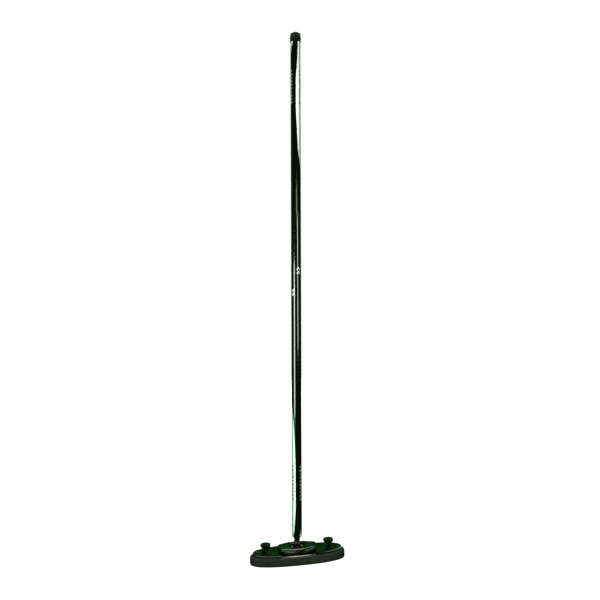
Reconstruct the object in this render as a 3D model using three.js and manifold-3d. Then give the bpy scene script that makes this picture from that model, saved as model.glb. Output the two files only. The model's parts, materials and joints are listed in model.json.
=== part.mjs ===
// Curling broom: a fabric-faced brush pad on a carrier with two press-and-turn lock knobs,
// a swivelling and tilting head joint, and a composite handle with a rubber end cap.
// Millimetres, +Z up, +X along the head's long side. The origin is on the floor, in the
// middle of the pad's underside. The handle leans a little towards +X at its tilt pin.

import * as THREE from "three";
import { mergeVertices } from "three/addons/utils/BufferGeometryUtils.js";
import Module from "manifold-3d";

const wasm = await Module();
wasm.setup();

// ---------------------------------------------------------------- driving dimensions

const GAP = 0.3; // between pieces that rest on or pass each other
const CIRCLE_SIDES = 32;
const KNOB_SIDES = 24;
const WASHER_SIDES = 20;
const SMALL_SIDES = 14;

const PAD = { halfLength: 112, halfWidth: 35, power: 2.4, height: 20 };
const COVER = { wall: 1.2, edge: 4, hem: 11 };
const FOAM_TOP = 15.2;
const BASE_PLATE = { bottom: 15.5, top: 18.5, halfLength: 107, halfWidth: 30 };

const CARRIER = { halfLength: 105, halfWidth: 32, bottom: 20.2, floor: 22.2, rim: 26.6 };
const CARRIER_LIP = 3;
const CARRIER_DISH = 12; // how far in from the lip the tray's floor starts to rise to meet it
const CARRIER_WINDOW_HALF = 40; // the raised lip stops here, to leave room for the handle

const TURRET = { halfLength: 46.4, halfWidth: 24.3, bottom: 22.5, deck: 34, rim: 35.9 };
const TURRET_WALL = 2.2;
const TURRET_FACET = { outerX: 38.2, outerY: 16.2, innerX: 15.5, endY: 4.5 };
const TURRET_PANEL = { depth: 1.1, margin: 0.5, heights: [[24.6, 28.6], [31, 33.4]] };
const TURRET_BOSS_RADIUS = 19.3;
const TURRET_SEAT = { floor: 24, holeRadius: 4.2 };
const TURRET_SCREW = { x: 33, y: 8, radius: 1.4, hole: 1.7, headRadius: 3, headHeight: 1.6, tip: 31 };
const MIDDLE_HOLE_RADIUS = 7;

const RING = { outer: 17.8, inner: 9, bottom: 28.3, top: 30.4, screwCircle: 13.55 };
const RING_SCREW_ANGLES = { left: 155, right: 35, front: -85 };
const RING_SCREW = { radius: 1.35, hole: 1.65, headRadius: 2.9, headHeight: 1.8, tip: 23 };
const THRUST_WASHER = { inner: 4.5, outer: 11.8, bottom: 24.3, top: 25 };

const FLANGE = { radius: 12, bottom: 25.3, top: 27.6 };
const POST = { radius: 8.5, shoulder: 37.5, slotHalf: 4.3, slotBottom: 33 };
const PIVOT_HEIGHT = 40;
const EAR_RADIUS = 6.9;
const PIN = { radius: 2.3, bore: 2.6, headRadius: 3.3, headThickness: 1.3, tail: 1.4 };
const PIN_CLIP = { radius: 3.6, thickness: 0.8 };
const FRICTION_WASHER_RADIUS = 5.6;

const LEAN_DEG = 2.3; // the handle's lean towards +X as it stands
// Heights on the handle are measured along it from the tilt pin.
const TONGUE = { halfThickness: 3.2, radius: 6 };
const NECK = { radius: 6.8, bottom: 7.3, top: 12.6, stemRadius: 4.8, stemTop: 34 };
const SHAFT = { radius: 11.9, bore: 10.4, bottom: 18.9, top: 1197.5 };
const FERRULE = { bottom: 12.9, shoulder: 18.2, lip: 18.6, spigotRadius: 10, top: 92 };
const RIVET_HEIGHTS = { lower: 42, upper: 84 };
const RIVET = { radius: 1.4, hole: 1.7, tail: 5.7, headRadius: 2.3, seat: 12.1, crown: 13 };
const CAP = { radius: 13.4, bore: 12.2, bottom: 1178.8, dome: 1191, top: 1202 };
const PLUG_BOTTOM = 1165;

const KNOB_X = 74.3;
const COLLAR = { baseRadius: 9.5, baseTop: 23.6, radius: 5, top: 29.6, bore: 2.75 };
const SPRING = { radius: 4.1, wire: 0.45, bottom: 30.35, top: 35.45, turns: 3.5 };
const SPRING_WASHER = { inner: 2.8, outer: 5.4, bottom: 36.2, top: 36.9 };
const KNOB = { baseRadius: 10, radius: 12.2, bottom: 37.2, flare: 40.2, rim: 44.1, top: 45.8 };
const SPINDLE = { radius: 2.4, bore: 2.7, top: 42.2, footBottom: 10.6, footTop: 11.6, footRadius: 3.4 };
const SPINDLE_HOLE_RADIUS = 3.2;
const LOCKING_BAR = { length: 17, width: 7.6, bottom: 12.1, top: 15.2 };
const BAR_SLOT = { length: 18.6, width: 8.6 };
const FOAM_POCKET = { radius: 9.9, bottom: 8.2 };

// ---------------------------------------------------------------- materials

function material(color, roughness, metalness = 0) {
  return new THREE.MeshStandardMaterial({ color, roughness, metalness });
}

const fabric = material(0x343a36, 0.85);
const foam = material(0xd9d6cc, 0.9);
const plateGrey = material(0x70756f, 0.6);
const blackPlastic = material(0x0b140b, 0.4);
const darkMetal = material(0x20261f, 0.35, 0.6);
const paleNylon = material(0xdedbd0, 0.5);
const steel = material(0xb9bab6, 0.3, 1);
const brass = material(0xc9a56b, 0.3, 1);
const glossBlack = material(0x060a06, 0.15);
const rubber = material(0x161d16, 0.7);

// ---------------------------------------------------------------- making solids

// A manifold-3d solid from a closed three.js geometry.
function solid(geometry) {
  geometry.deleteAttribute("normal");
  geometry.deleteAttribute("uv");
  const merged = mergeVertices(geometry, 1e-4);
  return new wasm.Manifold(
    new wasm.Mesh({
      numProp: 3,
      vertProperties: new Float32Array(merged.attributes.position.array),
      triVerts: new Uint32Array(merged.index.array),
    }),
  );
}

// A three.js geometry from a manifold-3d solid.
function geometryOf(made) {
  const mesh = made.getMesh();
  const geometry = new THREE.BufferGeometry();
  geometry.setAttribute("position", new THREE.BufferAttribute(mesh.vertProperties, 3));
  geometry.setIndex(new THREE.BufferAttribute(mesh.triVerts, 1));
  return geometry;
}

function cut(from, ...tools) {
  return tools.reduce((left, tool) => left.subtract(tool), from);
}

function join(first, ...others) {
  return others.reduce((sum, other) => sum.add(other), first);
}

// A solid turned about Z: the outline is a closed list of [radius, height], counter-clockwise.
function turned(outline, sides = CIRCLE_SIDES) {
  const points = outline.map(([radius, height]) => new THREE.Vector2(radius, height));
  points.push(points[0].clone());
  return solid(new THREE.LatheGeometry(points, sides).rotateX(Math.PI / 2));
}

function cylinder(radius, bottom, top, x = 0, y = 0, sides = SMALL_SIDES) {
  const geometry = new THREE.CylinderGeometry(radius, radius, top - bottom, sides);
  return solid(geometry.rotateX(Math.PI / 2).translate(x, y, (bottom + top) / 2));
}

// A cylinder along Y, at height z.
function crossCylinder(radius, from, to, z = 0, sides = SMALL_SIDES) {
  const geometry = new THREE.CylinderGeometry(radius, radius, to - from, sides);
  return solid(geometry.translate(0, (from + to) / 2, z));
}

function box(width, depth, bottom, top, x = 0, y = 0) {
  const geometry = new THREE.BoxGeometry(width, depth, top - bottom);
  return solid(geometry.translate(x, y, (bottom + top) / 2));
}

// A flat piece: a shape extruded from bottom to top, with its edges rounded by edge.
function plate(shape, bottom, top, edge = 0) {
  const geometry = new THREE.ExtrudeGeometry(shape, {
    depth: top - bottom - 2 * edge,
    bevelEnabled: edge > 0,
    bevelThickness: edge,
    bevelSize: edge,
    bevelOffset: -edge,
    bevelSegments: 2,
  });
  return solid(geometry.translate(0, 0, bottom + edge));
}

// The head's plan: an oval that is fuller than an ellipse.
function ovalShape(halfLength, halfWidth, steps = 48) {
  const points = [];
  for (let i = 0; i < steps; i += 1) {
    const angle = (2 * Math.PI * i) / steps;
    const x = Math.cos(angle);
    const y = Math.sin(angle);
    points.push(
      new THREE.Vector2(
        halfLength * Math.sign(x) * Math.abs(x) ** (2 / PAD.power),
        halfWidth * Math.sign(y) * Math.abs(y) ** (2 / PAD.power),
      ),
    );
  }
  return new THREE.Shape(points);
}

// The turret's plan: flat front and back, an angled facet at each corner, rounded ends.
function turretShape(inset) {
  const { outerX, outerY, innerX, endY } = TURRET_FACET;
  const end = TURRET.halfLength - inset;
  const side = TURRET.halfWidth - inset;
  const cornerX = outerX - 0.8 * inset;
  const cornerY = outerY - 0.6 * inset;
  const shape = new THREE.Shape();
  shape.moveTo(-innerX, -side);
  shape.lineTo(innerX, -side);
  shape.lineTo(cornerX, -cornerY);
  shape.quadraticCurveTo(end, -cornerY + 4, end, -endY);
  shape.lineTo(end, endY);
  shape.quadraticCurveTo(end, cornerY - 4, cornerX, cornerY);
  shape.lineTo(innerX, side);
  shape.lineTo(-innerX, side);
  shape.lineTo(-cornerX, cornerY);
  shape.quadraticCurveTo(-end, cornerY - 4, -end, endY);
  shape.lineTo(-end, -endY);
  shape.quadraticCurveTo(-end, -cornerY + 4, -cornerX, -cornerY);
  return new THREE.Shape(shape.getPoints(3));
}

function place(name, made, finish) {
  const mesh = new THREE.Mesh(geometryOf(made), finish);
  mesh.name = name;
  return mesh;
}

function polar(radius, degrees) {
  const angle = THREE.MathUtils.degToRad(degrees);
  return [radius * Math.cos(angle), radius * Math.sin(angle)];
}

// ---------------------------------------------------------------- brush pad

// Fabric sleeve: closed below, its hem folded in over the base plate.
function padCover() {
  const outer = plate(ovalShape(PAD.halfLength, PAD.halfWidth), 0, PAD.height, COVER.edge);
  const inside = plate(
    ovalShape(PAD.halfLength - COVER.wall, PAD.halfWidth - COVER.wall),
    COVER.wall,
    PAD.height - COVER.wall,
    COVER.edge - 1,
  );
  const mouth = plate(
    ovalShape(PAD.halfLength - COVER.hem, PAD.halfWidth - COVER.hem),
    PAD.height - 3,
    PAD.height + 1,
  );
  return place("pad_cover", cut(outer, inside, mouth), fabric);
}

function foamPad() {
  const inset = COVER.wall + GAP;
  const block = plate(
    ovalShape(PAD.halfLength - inset, PAD.halfWidth - inset),
    inset,
    FOAM_TOP,
    COVER.edge - 1,
  );
  const pockets = [-1, 1].map((side) =>
    cylinder(FOAM_POCKET.radius, FOAM_POCKET.bottom, FOAM_TOP + 1, side * KNOB_X, 0, WASHER_SIDES),
  );
  return place("foam_pad", cut(block, ...pockets), foam);
}

function padBasePlate() {
  const sheet = plate(
    ovalShape(BASE_PLATE.halfLength, BASE_PLATE.halfWidth),
    BASE_PLATE.bottom,
    BASE_PLATE.top,
  );
  const slots = [-1, 1].map((side) =>
    box(BAR_SLOT.width, BAR_SLOT.length, BASE_PLATE.bottom - 1, BASE_PLATE.top + 1, side * KNOB_X),
  );
  return place("pad_base_plate", cut(sheet, ...slots), plateGrey);
}

// ---------------------------------------------------------------- carrier and turret

function turretScrewPlaces() {
  const { x, y } = TURRET_SCREW;
  return [[-x, -y], [x, -y], [x, y], [-x, y]];
}

// The hollow of the tray: a bowl whose sides slope up from the floor to the lip.
function trayHollow() {
  const { halfLength, halfWidth, floor, rim } = CARRIER;
  const points = [];
  for (const share of [0, 1]) {
    const inset = CARRIER_LIP + CARRIER_DISH * (1 - share);
    const height = floor + (rim - floor) * share;
    for (const { x, y } of ovalShape(halfLength - inset, halfWidth - inset).getPoints()) {
      points.push([x, y, height], [x, y, height + rim - floor]);
    }
  }
  return wasm.Manifold.hull(points);
}

// The tray that the pad locks to: a raised lip round each wing, and a low edge between.
function carrier() {
  const { halfLength, halfWidth, bottom, floor, rim } = CARRIER;
  const { hole, headRadius, headHeight } = TURRET_SCREW;
  const block = plate(ovalShape(halfLength, halfWidth), bottom, rim, 0.7);
  const window = box(2 * CARRIER_WINDOW_HALF, 3 * halfWidth, floor, rim + 1);
  const spindleHoles = [-1, 1].map((side) =>
    cylinder(SPINDLE_HOLE_RADIUS, bottom - 1, floor + 1, side * KNOB_X),
  );
  const sink = [[0, -1], [headRadius + 0.9, -1], [hole + 0.1, headHeight], [hole + 0.1, 4], [0, 4]];
  const countersinks = turretScrewPlaces().map(([x, y]) =>
    turned(sink, SMALL_SIDES).translate(x, y, bottom),
  );
  const middleHole = cylinder(MIDDLE_HOLE_RADIUS, bottom - 1, floor + 1);
  return place(
    "carrier_plate",
    cut(block, trayHollow(), window, middleHole, ...spindleHoles, ...countersinks),
    blackPlastic,
  );
}

// The shallow panel let into the turret's front and back, crossed by one rib.
function turretPanel(side) {
  const { depth, margin, heights } = TURRET_PANEL;
  const width = 2 * (TURRET_FACET.innerX - margin);
  const fields = heights.map(([low, high]) =>
    box(width, 2 * depth, low, high, 0, side * TURRET.halfWidth),
  );
  return join(...fields);
}

// The raised housing in the middle of the head, moulded hollow, with a seat for the swivel.
function turret() {
  const { bottom, deck, rim } = TURRET;
  const block = plate(turretShape(0), bottom, rim, 0.6);
  const dish = plate(turretShape(2), deck, rim + 2);
  const hollow = plate(turretShape(TURRET_WALL), bottom - 1, deck - 2);
  const boss = cylinder(TURRET_BOSS_RADIUS, bottom, deck - 1, 0, 0, CIRCLE_SIDES);
  const screwPosts = turretScrewPlaces().map(([x, y]) => cylinder(3.4, bottom, deck - 1, x, y));
  const { floor, holeRadius } = TURRET_SEAT;
  const seat = turned([
    [0, bottom - 1],
    [holeRadius, bottom - 1],
    [holeRadius, floor],
    [FLANGE.radius + GAP, floor],
    [FLANGE.radius + GAP, RING.bottom - GAP],
    [RING.outer + GAP, RING.bottom - GAP],
    [RING.outer + 1.6, rim + 2],
    [0, rim + 2],
  ]);
  const ringScrewHoles = Object.values(RING_SCREW_ANGLES).map((degrees) =>
    cylinder(RING_SCREW.hole, bottom - 1, RING.bottom, ...polar(RING.screwCircle, degrees)),
  );
  const screwHoles = turretScrewPlaces().map(([x, y]) =>
    cylinder(TURRET_SCREW.hole, bottom - 1, TURRET_SCREW.tip + 0.5, x, y),
  );
  const shell = join(cut(block, dish, hollow), boss, ...screwPosts);
  return place(
    "pivot_turret",
    cut(shell, seat, ...ringScrewHoles, ...screwHoles, turretPanel(-1), turretPanel(1)),
    blackPlastic,
  );
}

// Countersunk screws that hold the turret from below.
function turretScrews() {
  const { radius, headRadius, headHeight, tip } = TURRET_SCREW;
  const start = CARRIER.bottom + 0.1;
  return turretScrewPlaces().map(([x, y], i) => {
    const made = turned(
      [[0, start], [headRadius, start], [radius, start + headHeight], [radius, tip], [0, tip]],
      SMALL_SIDES,
    );
    return place(`turret_screw_${i + 1}`, made.translate(x, y, 0), steel);
  });
}

function retainingRing() {
  const { outer, inner, bottom, top } = RING;
  const ring = turned([
    [inner, bottom],
    [outer, bottom],
    [outer, top - 0.6],
    [outer - 0.6, top],
    [inner + 0.5, top],
    [inner, top - 0.5],
  ]);
  const holes = Object.values(RING_SCREW_ANGLES).map((degrees) =>
    cylinder(RING_SCREW.hole, bottom - 1, top + 1, ...polar(RING.screwCircle, degrees)),
  );
  return place("retaining_ring", cut(ring, ...holes), blackPlastic);
}

// Pan-head screws that hold the retaining ring.
function ringScrews() {
  const { radius, headRadius, headHeight, tip } = RING_SCREW;
  const seatHeight = RING.top + 0.1;
  const crown = seatHeight + headHeight;
  return Object.entries(RING_SCREW_ANGLES).map(([side, degrees]) => {
    const made = turned(
      [
        [0, tip],
        [radius, tip],
        [radius, seatHeight],
        [headRadius, seatHeight],
        [headRadius, crown - 0.8],
        [headRadius - 1, crown],
        [0, crown],
      ],
      SMALL_SIDES,
    );
    const [x, y] = polar(RING.screwCircle, degrees);
    return place(`ring_screw_${side}`, made.translate(x, y, 0), side === "left" ? steel : brass);
  });
}

// ---------------------------------------------------------------- swivel and tilt joint

function thrustWasher() {
  const { inner, outer, bottom, top } = THRUST_WASHER;
  const made = turned([[inner, bottom], [outer, bottom], [outer, top], [inner, top]]);
  return place("thrust_washer", made, paleNylon);
}

// Flange held under the ring, and a round post slotted into two ears for the tilt pin.
function swivelYoke() {
  const { radius, shoulder, slotHalf, slotBottom } = POST;
  const base = turned([
    [0, FLANGE.bottom],
    [FLANGE.radius, FLANGE.bottom],
    [FLANGE.radius, FLANGE.top],
    [radius, FLANGE.top],
    [radius, shoulder - 0.6],
    [radius - 0.6, shoulder],
    [0, shoulder],
  ]);
  const earBlank = crossCylinder(EAR_RADIUS, -radius, radius, PIVOT_HEIGHT, CIRCLE_SIDES);
  const ears = earBlank.intersect(cylinder(radius - 0.2, 30, 50, 0, 0, CIRCLE_SIDES));
  const slot = box(3 * radius, 2 * slotHalf, slotBottom, 60);
  const bore = crossCylinder(PIN.bore, -20, 20, PIVOT_HEIGHT);
  return place("swivel_yoke", cut(join(base, ears), slot, bore), blackPlastic);
}

function frictionWashers() {
  const inner = TONGUE.halfThickness + 0.15;
  const outer = POST.slotHalf - 0.2;
  return [["front", -1], ["back", 1]].map(([name, side]) => {
    const from = Math.min(side * inner, side * outer);
    const to = Math.max(side * inner, side * outer);
    const disc = crossCylinder(FRICTION_WASHER_RADIUS, from, to, PIVOT_HEIGHT);
    const hole = crossCylinder(PIN.bore, from - 1, to + 1, PIVOT_HEIGHT);
    return place(`friction_washer_${name}`, cut(disc, hole), paleNylon);
  });
}

function tiltPin() {
  const start = -POST.radius - 0.1;
  const rod = crossCylinder(PIN.radius, start - 0.5, -start + PIN.tail, PIVOT_HEIGHT);
  const head = crossCylinder(PIN.headRadius, start - PIN.headThickness, start, PIVOT_HEIGHT);
  return place("tilt_pin", join(rod, head), darkMetal);
}

function tiltPinClip() {
  const start = POST.radius + 0.2;
  const disc = crossCylinder(PIN_CLIP.radius, start, start + PIN_CLIP.thickness, PIVOT_HEIGHT);
  const hole = crossCylinder(PIN.radius + 0.1, start - 1, start + 2, PIVOT_HEIGHT);
  return place("tilt_pin_clip", cut(disc, hole), steel);
}

// ---------------------------------------------------------------- handle, along its own axis

// Flat tongue between the ears, a round neck above it, and a stem up into the ferrule.
function pivotTang() {
  const tongue = join(
    crossCylinder(TONGUE.radius, -TONGUE.halfThickness, TONGUE.halfThickness),
    box(2 * TONGUE.radius, 2 * TONGUE.halfThickness, 0, NECK.bottom + 1),
  );
  const neck = turned([
    [0, NECK.bottom],
    [NECK.radius, NECK.bottom],
    [NECK.radius, NECK.top],
    [NECK.stemRadius, NECK.top],
    [NECK.stemRadius, NECK.stemTop],
    [0, NECK.stemTop],
  ]);
  const bore = crossCylinder(PIN.bore, -20, 20);
  return place("pivot_tang", cut(join(tongue, neck), bore), darkMetal);
}

// A hole for a rivet, out through the shaft's wall towards -X.
function rivetHole(height) {
  const start = RIVET.tail - GAP;
  const length = 2 * SHAFT.radius - start;
  const geometry = new THREE.CylinderGeometry(RIVET.hole, RIVET.hole, length, SMALL_SIDES);
  return solid(geometry.rotateZ(Math.PI / 2).translate(-start - length / 2, 0, height));
}

// Cone that finishes the handle's lower end, with a spigot fixed inside the tube.
function ferrule() {
  const { bottom, shoulder, lip, spigotRadius, top } = FERRULE;
  const body = turned([
    [0, bottom],
    [NECK.radius + 0.6, bottom],
    [SHAFT.radius, shoulder],
    [SHAFT.radius, lip],
    [spigotRadius, lip],
    [spigotRadius, top - 2],
    [spigotRadius - 2, top],
    [0, top],
  ]);
  const socket = cylinder(NECK.stemRadius + GAP, bottom - 1, NECK.stemTop + 2);
  const rivetHoles = Object.values(RIVET_HEIGHTS).map(rivetHole);
  return place("ferrule", cut(body, socket, ...rivetHoles), blackPlastic);
}

function shaftTube() {
  const { radius, bore, bottom, top } = SHAFT;
  const tube = turned([[bore, bottom], [radius, bottom], [radius, top], [bore, top]]);
  const rivetHoles = Object.values(RIVET_HEIGHTS).map(rivetHole);
  return place("shaft_tube", cut(tube, ...rivetHoles), glossBlack);
}

// Small domed rivets that fix the tube to the ferrule's spigot.
function ferruleRivets() {
  const { radius, tail, headRadius, seat, crown } = RIVET;
  return Object.entries(RIVET_HEIGHTS).map(([name, height]) => {
    const made = turned(
      [
        [0, tail],
        [radius, tail],
        [radius, seat],
        [headRadius, seat],
        [headRadius - 0.4, crown - 0.3],
        [0, crown],
      ],
      SMALL_SIDES,
    );
    const laid = made.rotate([0, -90, 0]).translate(0, 0, height);
    return place(`ferrule_rivet_${name}`, laid, darkMetal);
  });
}

function topPlug() {
  const radius = SHAFT.bore - GAP;
  const made = turned([
    [0, PLUG_BOTTOM],
    [radius - 2, PLUG_BOTTOM],
    [radius, PLUG_BOTTOM + 3],
    [radius, SHAFT.top],
    [0, SHAFT.top],
  ]);
  return place("top_plug", made, plateGrey);
}

// Rubber cap over the tube's upper end.
function endCap() {
  const { radius, bore, bottom, dome, top } = CAP;
  const outline = [[bore, bottom], [radius, bottom], [radius, dome]];
  const steps = 6;
  for (let i = 1; i <= steps; i += 1) {
    const angle = (Math.PI / 2) * (i / steps);
    outline.push([radius * Math.cos(angle), dome + (top - dome) * Math.sin(angle)]);
  }
  outline.push([0, SHAFT.top + GAP], [bore, SHAFT.top + GAP]);
  return place("end_cap", turned(outline), rubber);
}

// ---------------------------------------------------------------- lock knobs

function collar(side) {
  const { baseRadius, baseTop, radius, top, bore } = COLLAR;
  const bottom = CARRIER.floor + GAP;
  const made = turned(
    [
      [bore, bottom],
      [baseRadius, bottom],
      [baseRadius, baseTop],
      [radius + 0.9, baseTop + 1.6],
      [radius, baseTop + 2.4],
      [radius, top],
      [bore, top],
    ],
    WASHER_SIDES,
  );
  return place(`${side}_knob_collar`, made, blackPlastic);
}

// Compression spring: a round wire wound on a cylinder.
class Helix extends THREE.Curve {
  getPoint(t, target = new THREE.Vector3()) {
    const angle = 2 * Math.PI * SPRING.turns * t;
    return target.set(
      SPRING.radius * Math.cos(angle),
      SPRING.radius * Math.sin(angle),
      THREE.MathUtils.lerp(SPRING.bottom, SPRING.top, t),
    );
  }
}

function knobSpring(side) {
  const section = new THREE.Shape().absarc(0, 0, SPRING.wire, 0, 2 * Math.PI);
  const geometry = new THREE.ExtrudeGeometry(section, {
    curveSegments: 3,
    steps: 12 * SPRING.turns,
    extrudePath: new Helix(),
    bevelEnabled: false,
  });
  return place(`${side}_knob_spring`, solid(geometry), darkMetal);
}

function springWasher(side) {
  const { inner, outer, bottom, top } = SPRING_WASHER;
  const outline = [[inner, bottom], [outer, bottom], [outer, top], [inner, top]];
  const made = turned(outline, WASHER_SIDES);
  return place(`${side}_spring_washer`, made, darkMetal);
}

// Thick round knob: a short cone below, an upright rim, and a low domed top.
function knobCap(side) {
  const { baseRadius, radius, bottom, flare, rim, top } = KNOB;
  const boreTop = SPINDLE.top + GAP;
  const made = turned(
    [
      [SPINDLE.bore, bottom],
      [baseRadius, bottom],
      [radius, flare],
      [radius, rim],
      [radius - 1, rim + 0.7],
      [radius * 0.55, top - 0.2],
      [0, top],
      [0, boreTop],
      [SPINDLE.bore, boreTop],
    ],
    KNOB_SIDES,
  );
  return place(`${side}_knob_cap`, made, blackPlastic);
}

function spindle(side) {
  const { radius, top, footBottom, footTop, footRadius } = SPINDLE;
  const made = turned(
    [
      [0, footBottom],
      [footRadius, footBottom],
      [footRadius, footTop],
      [radius, footTop],
      [radius, top],
      [0, top],
    ],
    SMALL_SIDES,
  );
  return place(`${side}_knob_spindle`, made, steel);
}

// Cross bar under the base plate: a quarter turn lines it up with the plate's slot.
function lockingBar(side) {
  const { length, width, bottom, top } = LOCKING_BAR;
  const hole = cylinder(SPINDLE.bore, bottom - 1, top + 1);
  return place(`${side}_locking_bar`, cut(box(length, width, bottom, top), hole), steel);
}

function lockKnob(side, x) {
  const knob = new THREE.Group();
  knob.add(
    collar(side),
    knobSpring(side),
    springWasher(side),
    knobCap(side),
    spindle(side),
    lockingBar(side),
  );
  knob.position.x = x;
  return knob;
}

// ---------------------------------------------------------------- assembly

function brushHead() {
  const head = new THREE.Group();
  head.add(padCover(), foamPad(), padBasePlate(), carrier(), turret(), ...turretScrews());
  head.add(thrustWasher(), retainingRing(), ...ringScrews());
  head.add(lockKnob("left", -KNOB_X), lockKnob("right", KNOB_X));
  return head;
}

function swivel() {
  const group = new THREE.Group();
  group.add(swivelYoke(), tiltPin(), tiltPinClip(), ...frictionWashers());
  return group;
}

function handle() {
  const group = new THREE.Group();
  group.add(pivotTang(), ferrule(), ...ferruleRivets(), shaftTube(), topPlug(), endCap());
  group.position.z = PIVOT_HEIGHT;
  group.rotation.y = THREE.MathUtils.degToRad(LEAN_DEG);
  return group;
}

const broom = new THREE.Group();
broom.add(brushHead(), swivel(), handle());

export default broom;
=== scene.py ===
"""The looks of a curling broom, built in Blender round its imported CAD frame.

Sizes are in millimetres until a mesh is made. +Z is up, +X runs along the head, and the handle is
built upright about its tilt pin and then leaned with the frame.
"""

import json
import math
from itertools import cycle

import bpy
import numpy as np
from mathutils import Matrix, Vector, noise
from mathutils.bvhtree import BVHTree

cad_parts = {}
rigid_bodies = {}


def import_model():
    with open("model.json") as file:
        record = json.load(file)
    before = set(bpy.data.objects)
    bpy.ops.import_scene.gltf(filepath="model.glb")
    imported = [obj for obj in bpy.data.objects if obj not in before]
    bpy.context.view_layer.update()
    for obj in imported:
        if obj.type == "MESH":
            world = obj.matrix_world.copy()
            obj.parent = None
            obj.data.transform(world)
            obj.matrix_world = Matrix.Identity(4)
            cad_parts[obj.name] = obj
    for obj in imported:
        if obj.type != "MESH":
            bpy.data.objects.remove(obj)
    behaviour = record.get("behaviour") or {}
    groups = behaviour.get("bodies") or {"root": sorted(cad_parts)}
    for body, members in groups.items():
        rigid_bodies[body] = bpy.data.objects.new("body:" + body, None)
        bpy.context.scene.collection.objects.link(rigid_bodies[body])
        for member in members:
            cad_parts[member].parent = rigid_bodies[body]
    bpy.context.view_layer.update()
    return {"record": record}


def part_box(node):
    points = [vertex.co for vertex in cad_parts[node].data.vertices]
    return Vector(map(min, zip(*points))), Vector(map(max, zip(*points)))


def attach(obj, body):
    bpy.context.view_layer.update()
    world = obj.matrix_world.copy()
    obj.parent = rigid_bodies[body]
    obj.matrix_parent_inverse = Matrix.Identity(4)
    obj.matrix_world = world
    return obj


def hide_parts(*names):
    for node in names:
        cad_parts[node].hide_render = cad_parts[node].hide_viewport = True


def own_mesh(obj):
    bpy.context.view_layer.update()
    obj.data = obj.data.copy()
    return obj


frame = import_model()

MM = 0.001


def box_of(node):
    """A CAD node's lowest and highest corner, in millimetres."""
    low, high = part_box(node)
    return low / MM, high / MM


def facing_angle(degrees):
    """The angle about the shaft of a line that many degrees right of the one facing the camera."""
    return math.radians(degrees - 90 - CAMERA["yaw"])


# ------------------------------------------------------------------ sizes

PAD_HIGH = box_of("pad_cover")[1]
FOAM_LOW, FOAM_HIGH = box_of("foam_pad")
PLATE_LOW, PLATE_HIGH = box_of("pad_base_plate")
CARRIER_LOW, CARRIER_HIGH = box_of("carrier_plate")
TURRET_LOW, TURRET_HIGH = box_of("pivot_turret")
RING_LOW, RING_HIGH = box_of("retaining_ring")
YOKE_LOW = box_of("swivel_yoke")[0]
PIN_LOW, PIN_HIGH = box_of("tilt_pin")
CAP_LOW, CAP_HIGH = box_of("end_cap")

OVAL_POWER = 2.4
OVAL_COLUMNS = 320
ROUND = 64
SMALL_ROUND = 32

COVER_WALL = 1.0
COVER_EDGE = 4.0
COVER_HEM = 11.0
COVER_MIDDLE = 33.0
SEAM_HEIGHTS = (4.6, 15.4)
SEAM_GROOVE = {"depth": 0.5, "reach": 0.7}
PUCKER = {"length": 8.0, "depth": 0.22, "reach": 2.5, "drift": 17}
PUFF_CAP = 1.5
CLOTH_FRAMES = 20
# Painted shade, tinted green as a painted reflection: near its lower edge and round the ends the cloth
# is painted a very dark green.
PAINTED_COVER_SHADE = {"heights": (3.2, 6.4), "ends": (103, 109), "colour": (0.001, 0.013, 0.0015)}
STITCH = {"pitch": 3.3, "length": 2.5, "radius": 0.27}
# (share of a stitch's length from its middle, height off the cloth)
STITCH_ARCH = ((-0.5, -0.25), (-0.3, 0.1), (0, 0.2), (0.3, 0.1), (0.5, -0.25))
FOAM_EDGE = {"lower": 3, "upper": 2}
FOAM_MIDDLE = 30
FOAM_POCKET = {"radius": 9.9, "bottom": 8.2, "top": 18}
PLATE_MIDDLE = 26
PLATE_SLOT = (18.6, 8.6)

CARRIER_FLOOR = 22.2
CARRIER_LIP = 3.0
CARRIER_DISH = 12.0
CARRIER_WINDOW = 40.0
CARRIER_WINDOW_EASE = 1.2
CARRIER_HOLES = {"knob": 3.2, "middle": 7.0, "screw": 1.8, "screw_head": 3.9}
THROUGH_CARRIER = (10, 30)

TURRET_FACET = {"inner_x": 15.5, "outer_x": 38.2, "outer_y": 16.2, "end_y": 11.2}
TURRET_DECK = 34.0
TURRET_PANELS = ((25.4, 28.4), (29.8, 32.4))
TURRET_SEAT = {"rim": 20.2, "flange": 12.3, "floor": 24.0, "hole": 4.2}
TURRET_RING_SEAT = (28.0, 31.4)
RING_GAP = 0.3
FLANGE_RADIUS = 12.0
RING_SCREW_CIRCLE = 13.55
RING_SCREW_ANGLES = {"left": 155, "right": 35, "front": -85}
RING_SCREW = {"thread": 1.35, "hole": 1.65, "head": 2.9, "rise": 1.8, "bottom": 23.0}
RING_SCREW_HOLE_TOP = 29
TURRET_SCREW_PLACE = (33.0, 8.0)
TURRET_SCREW = {"thread": 1.4, "hole": 1.7, "head": 3.0, "top": 31.0}

POST = {"radius": 8.5, "shoulder": 37.5, "slot_half": 4.3, "slot_bottom": 33.0}
EAR_RADIUS = 6.9
PIN_RADIUS = 2.3
PIN_BORE = 2.6
PIN_HEAD_RADIUS = 3.3
THRUST_WASHER_BORE = 4.5
FRICTION_WASHER_RADIUS = 5.6

PIVOT = Vector((0, 0, (PIN_LOW.z + PIN_HIGH.z) / 2))
CAP_MIDDLE = (CAP_LOW + CAP_HIGH) / 2
LEAN = math.atan2(CAP_MIDDLE.x, CAP_MIDDLE.z - PIVOT.z)
HANDLE_PLACE = Matrix.Translation(PIVOT * MM) @ Matrix.Rotation(LEAN, 4, "Y")

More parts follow.
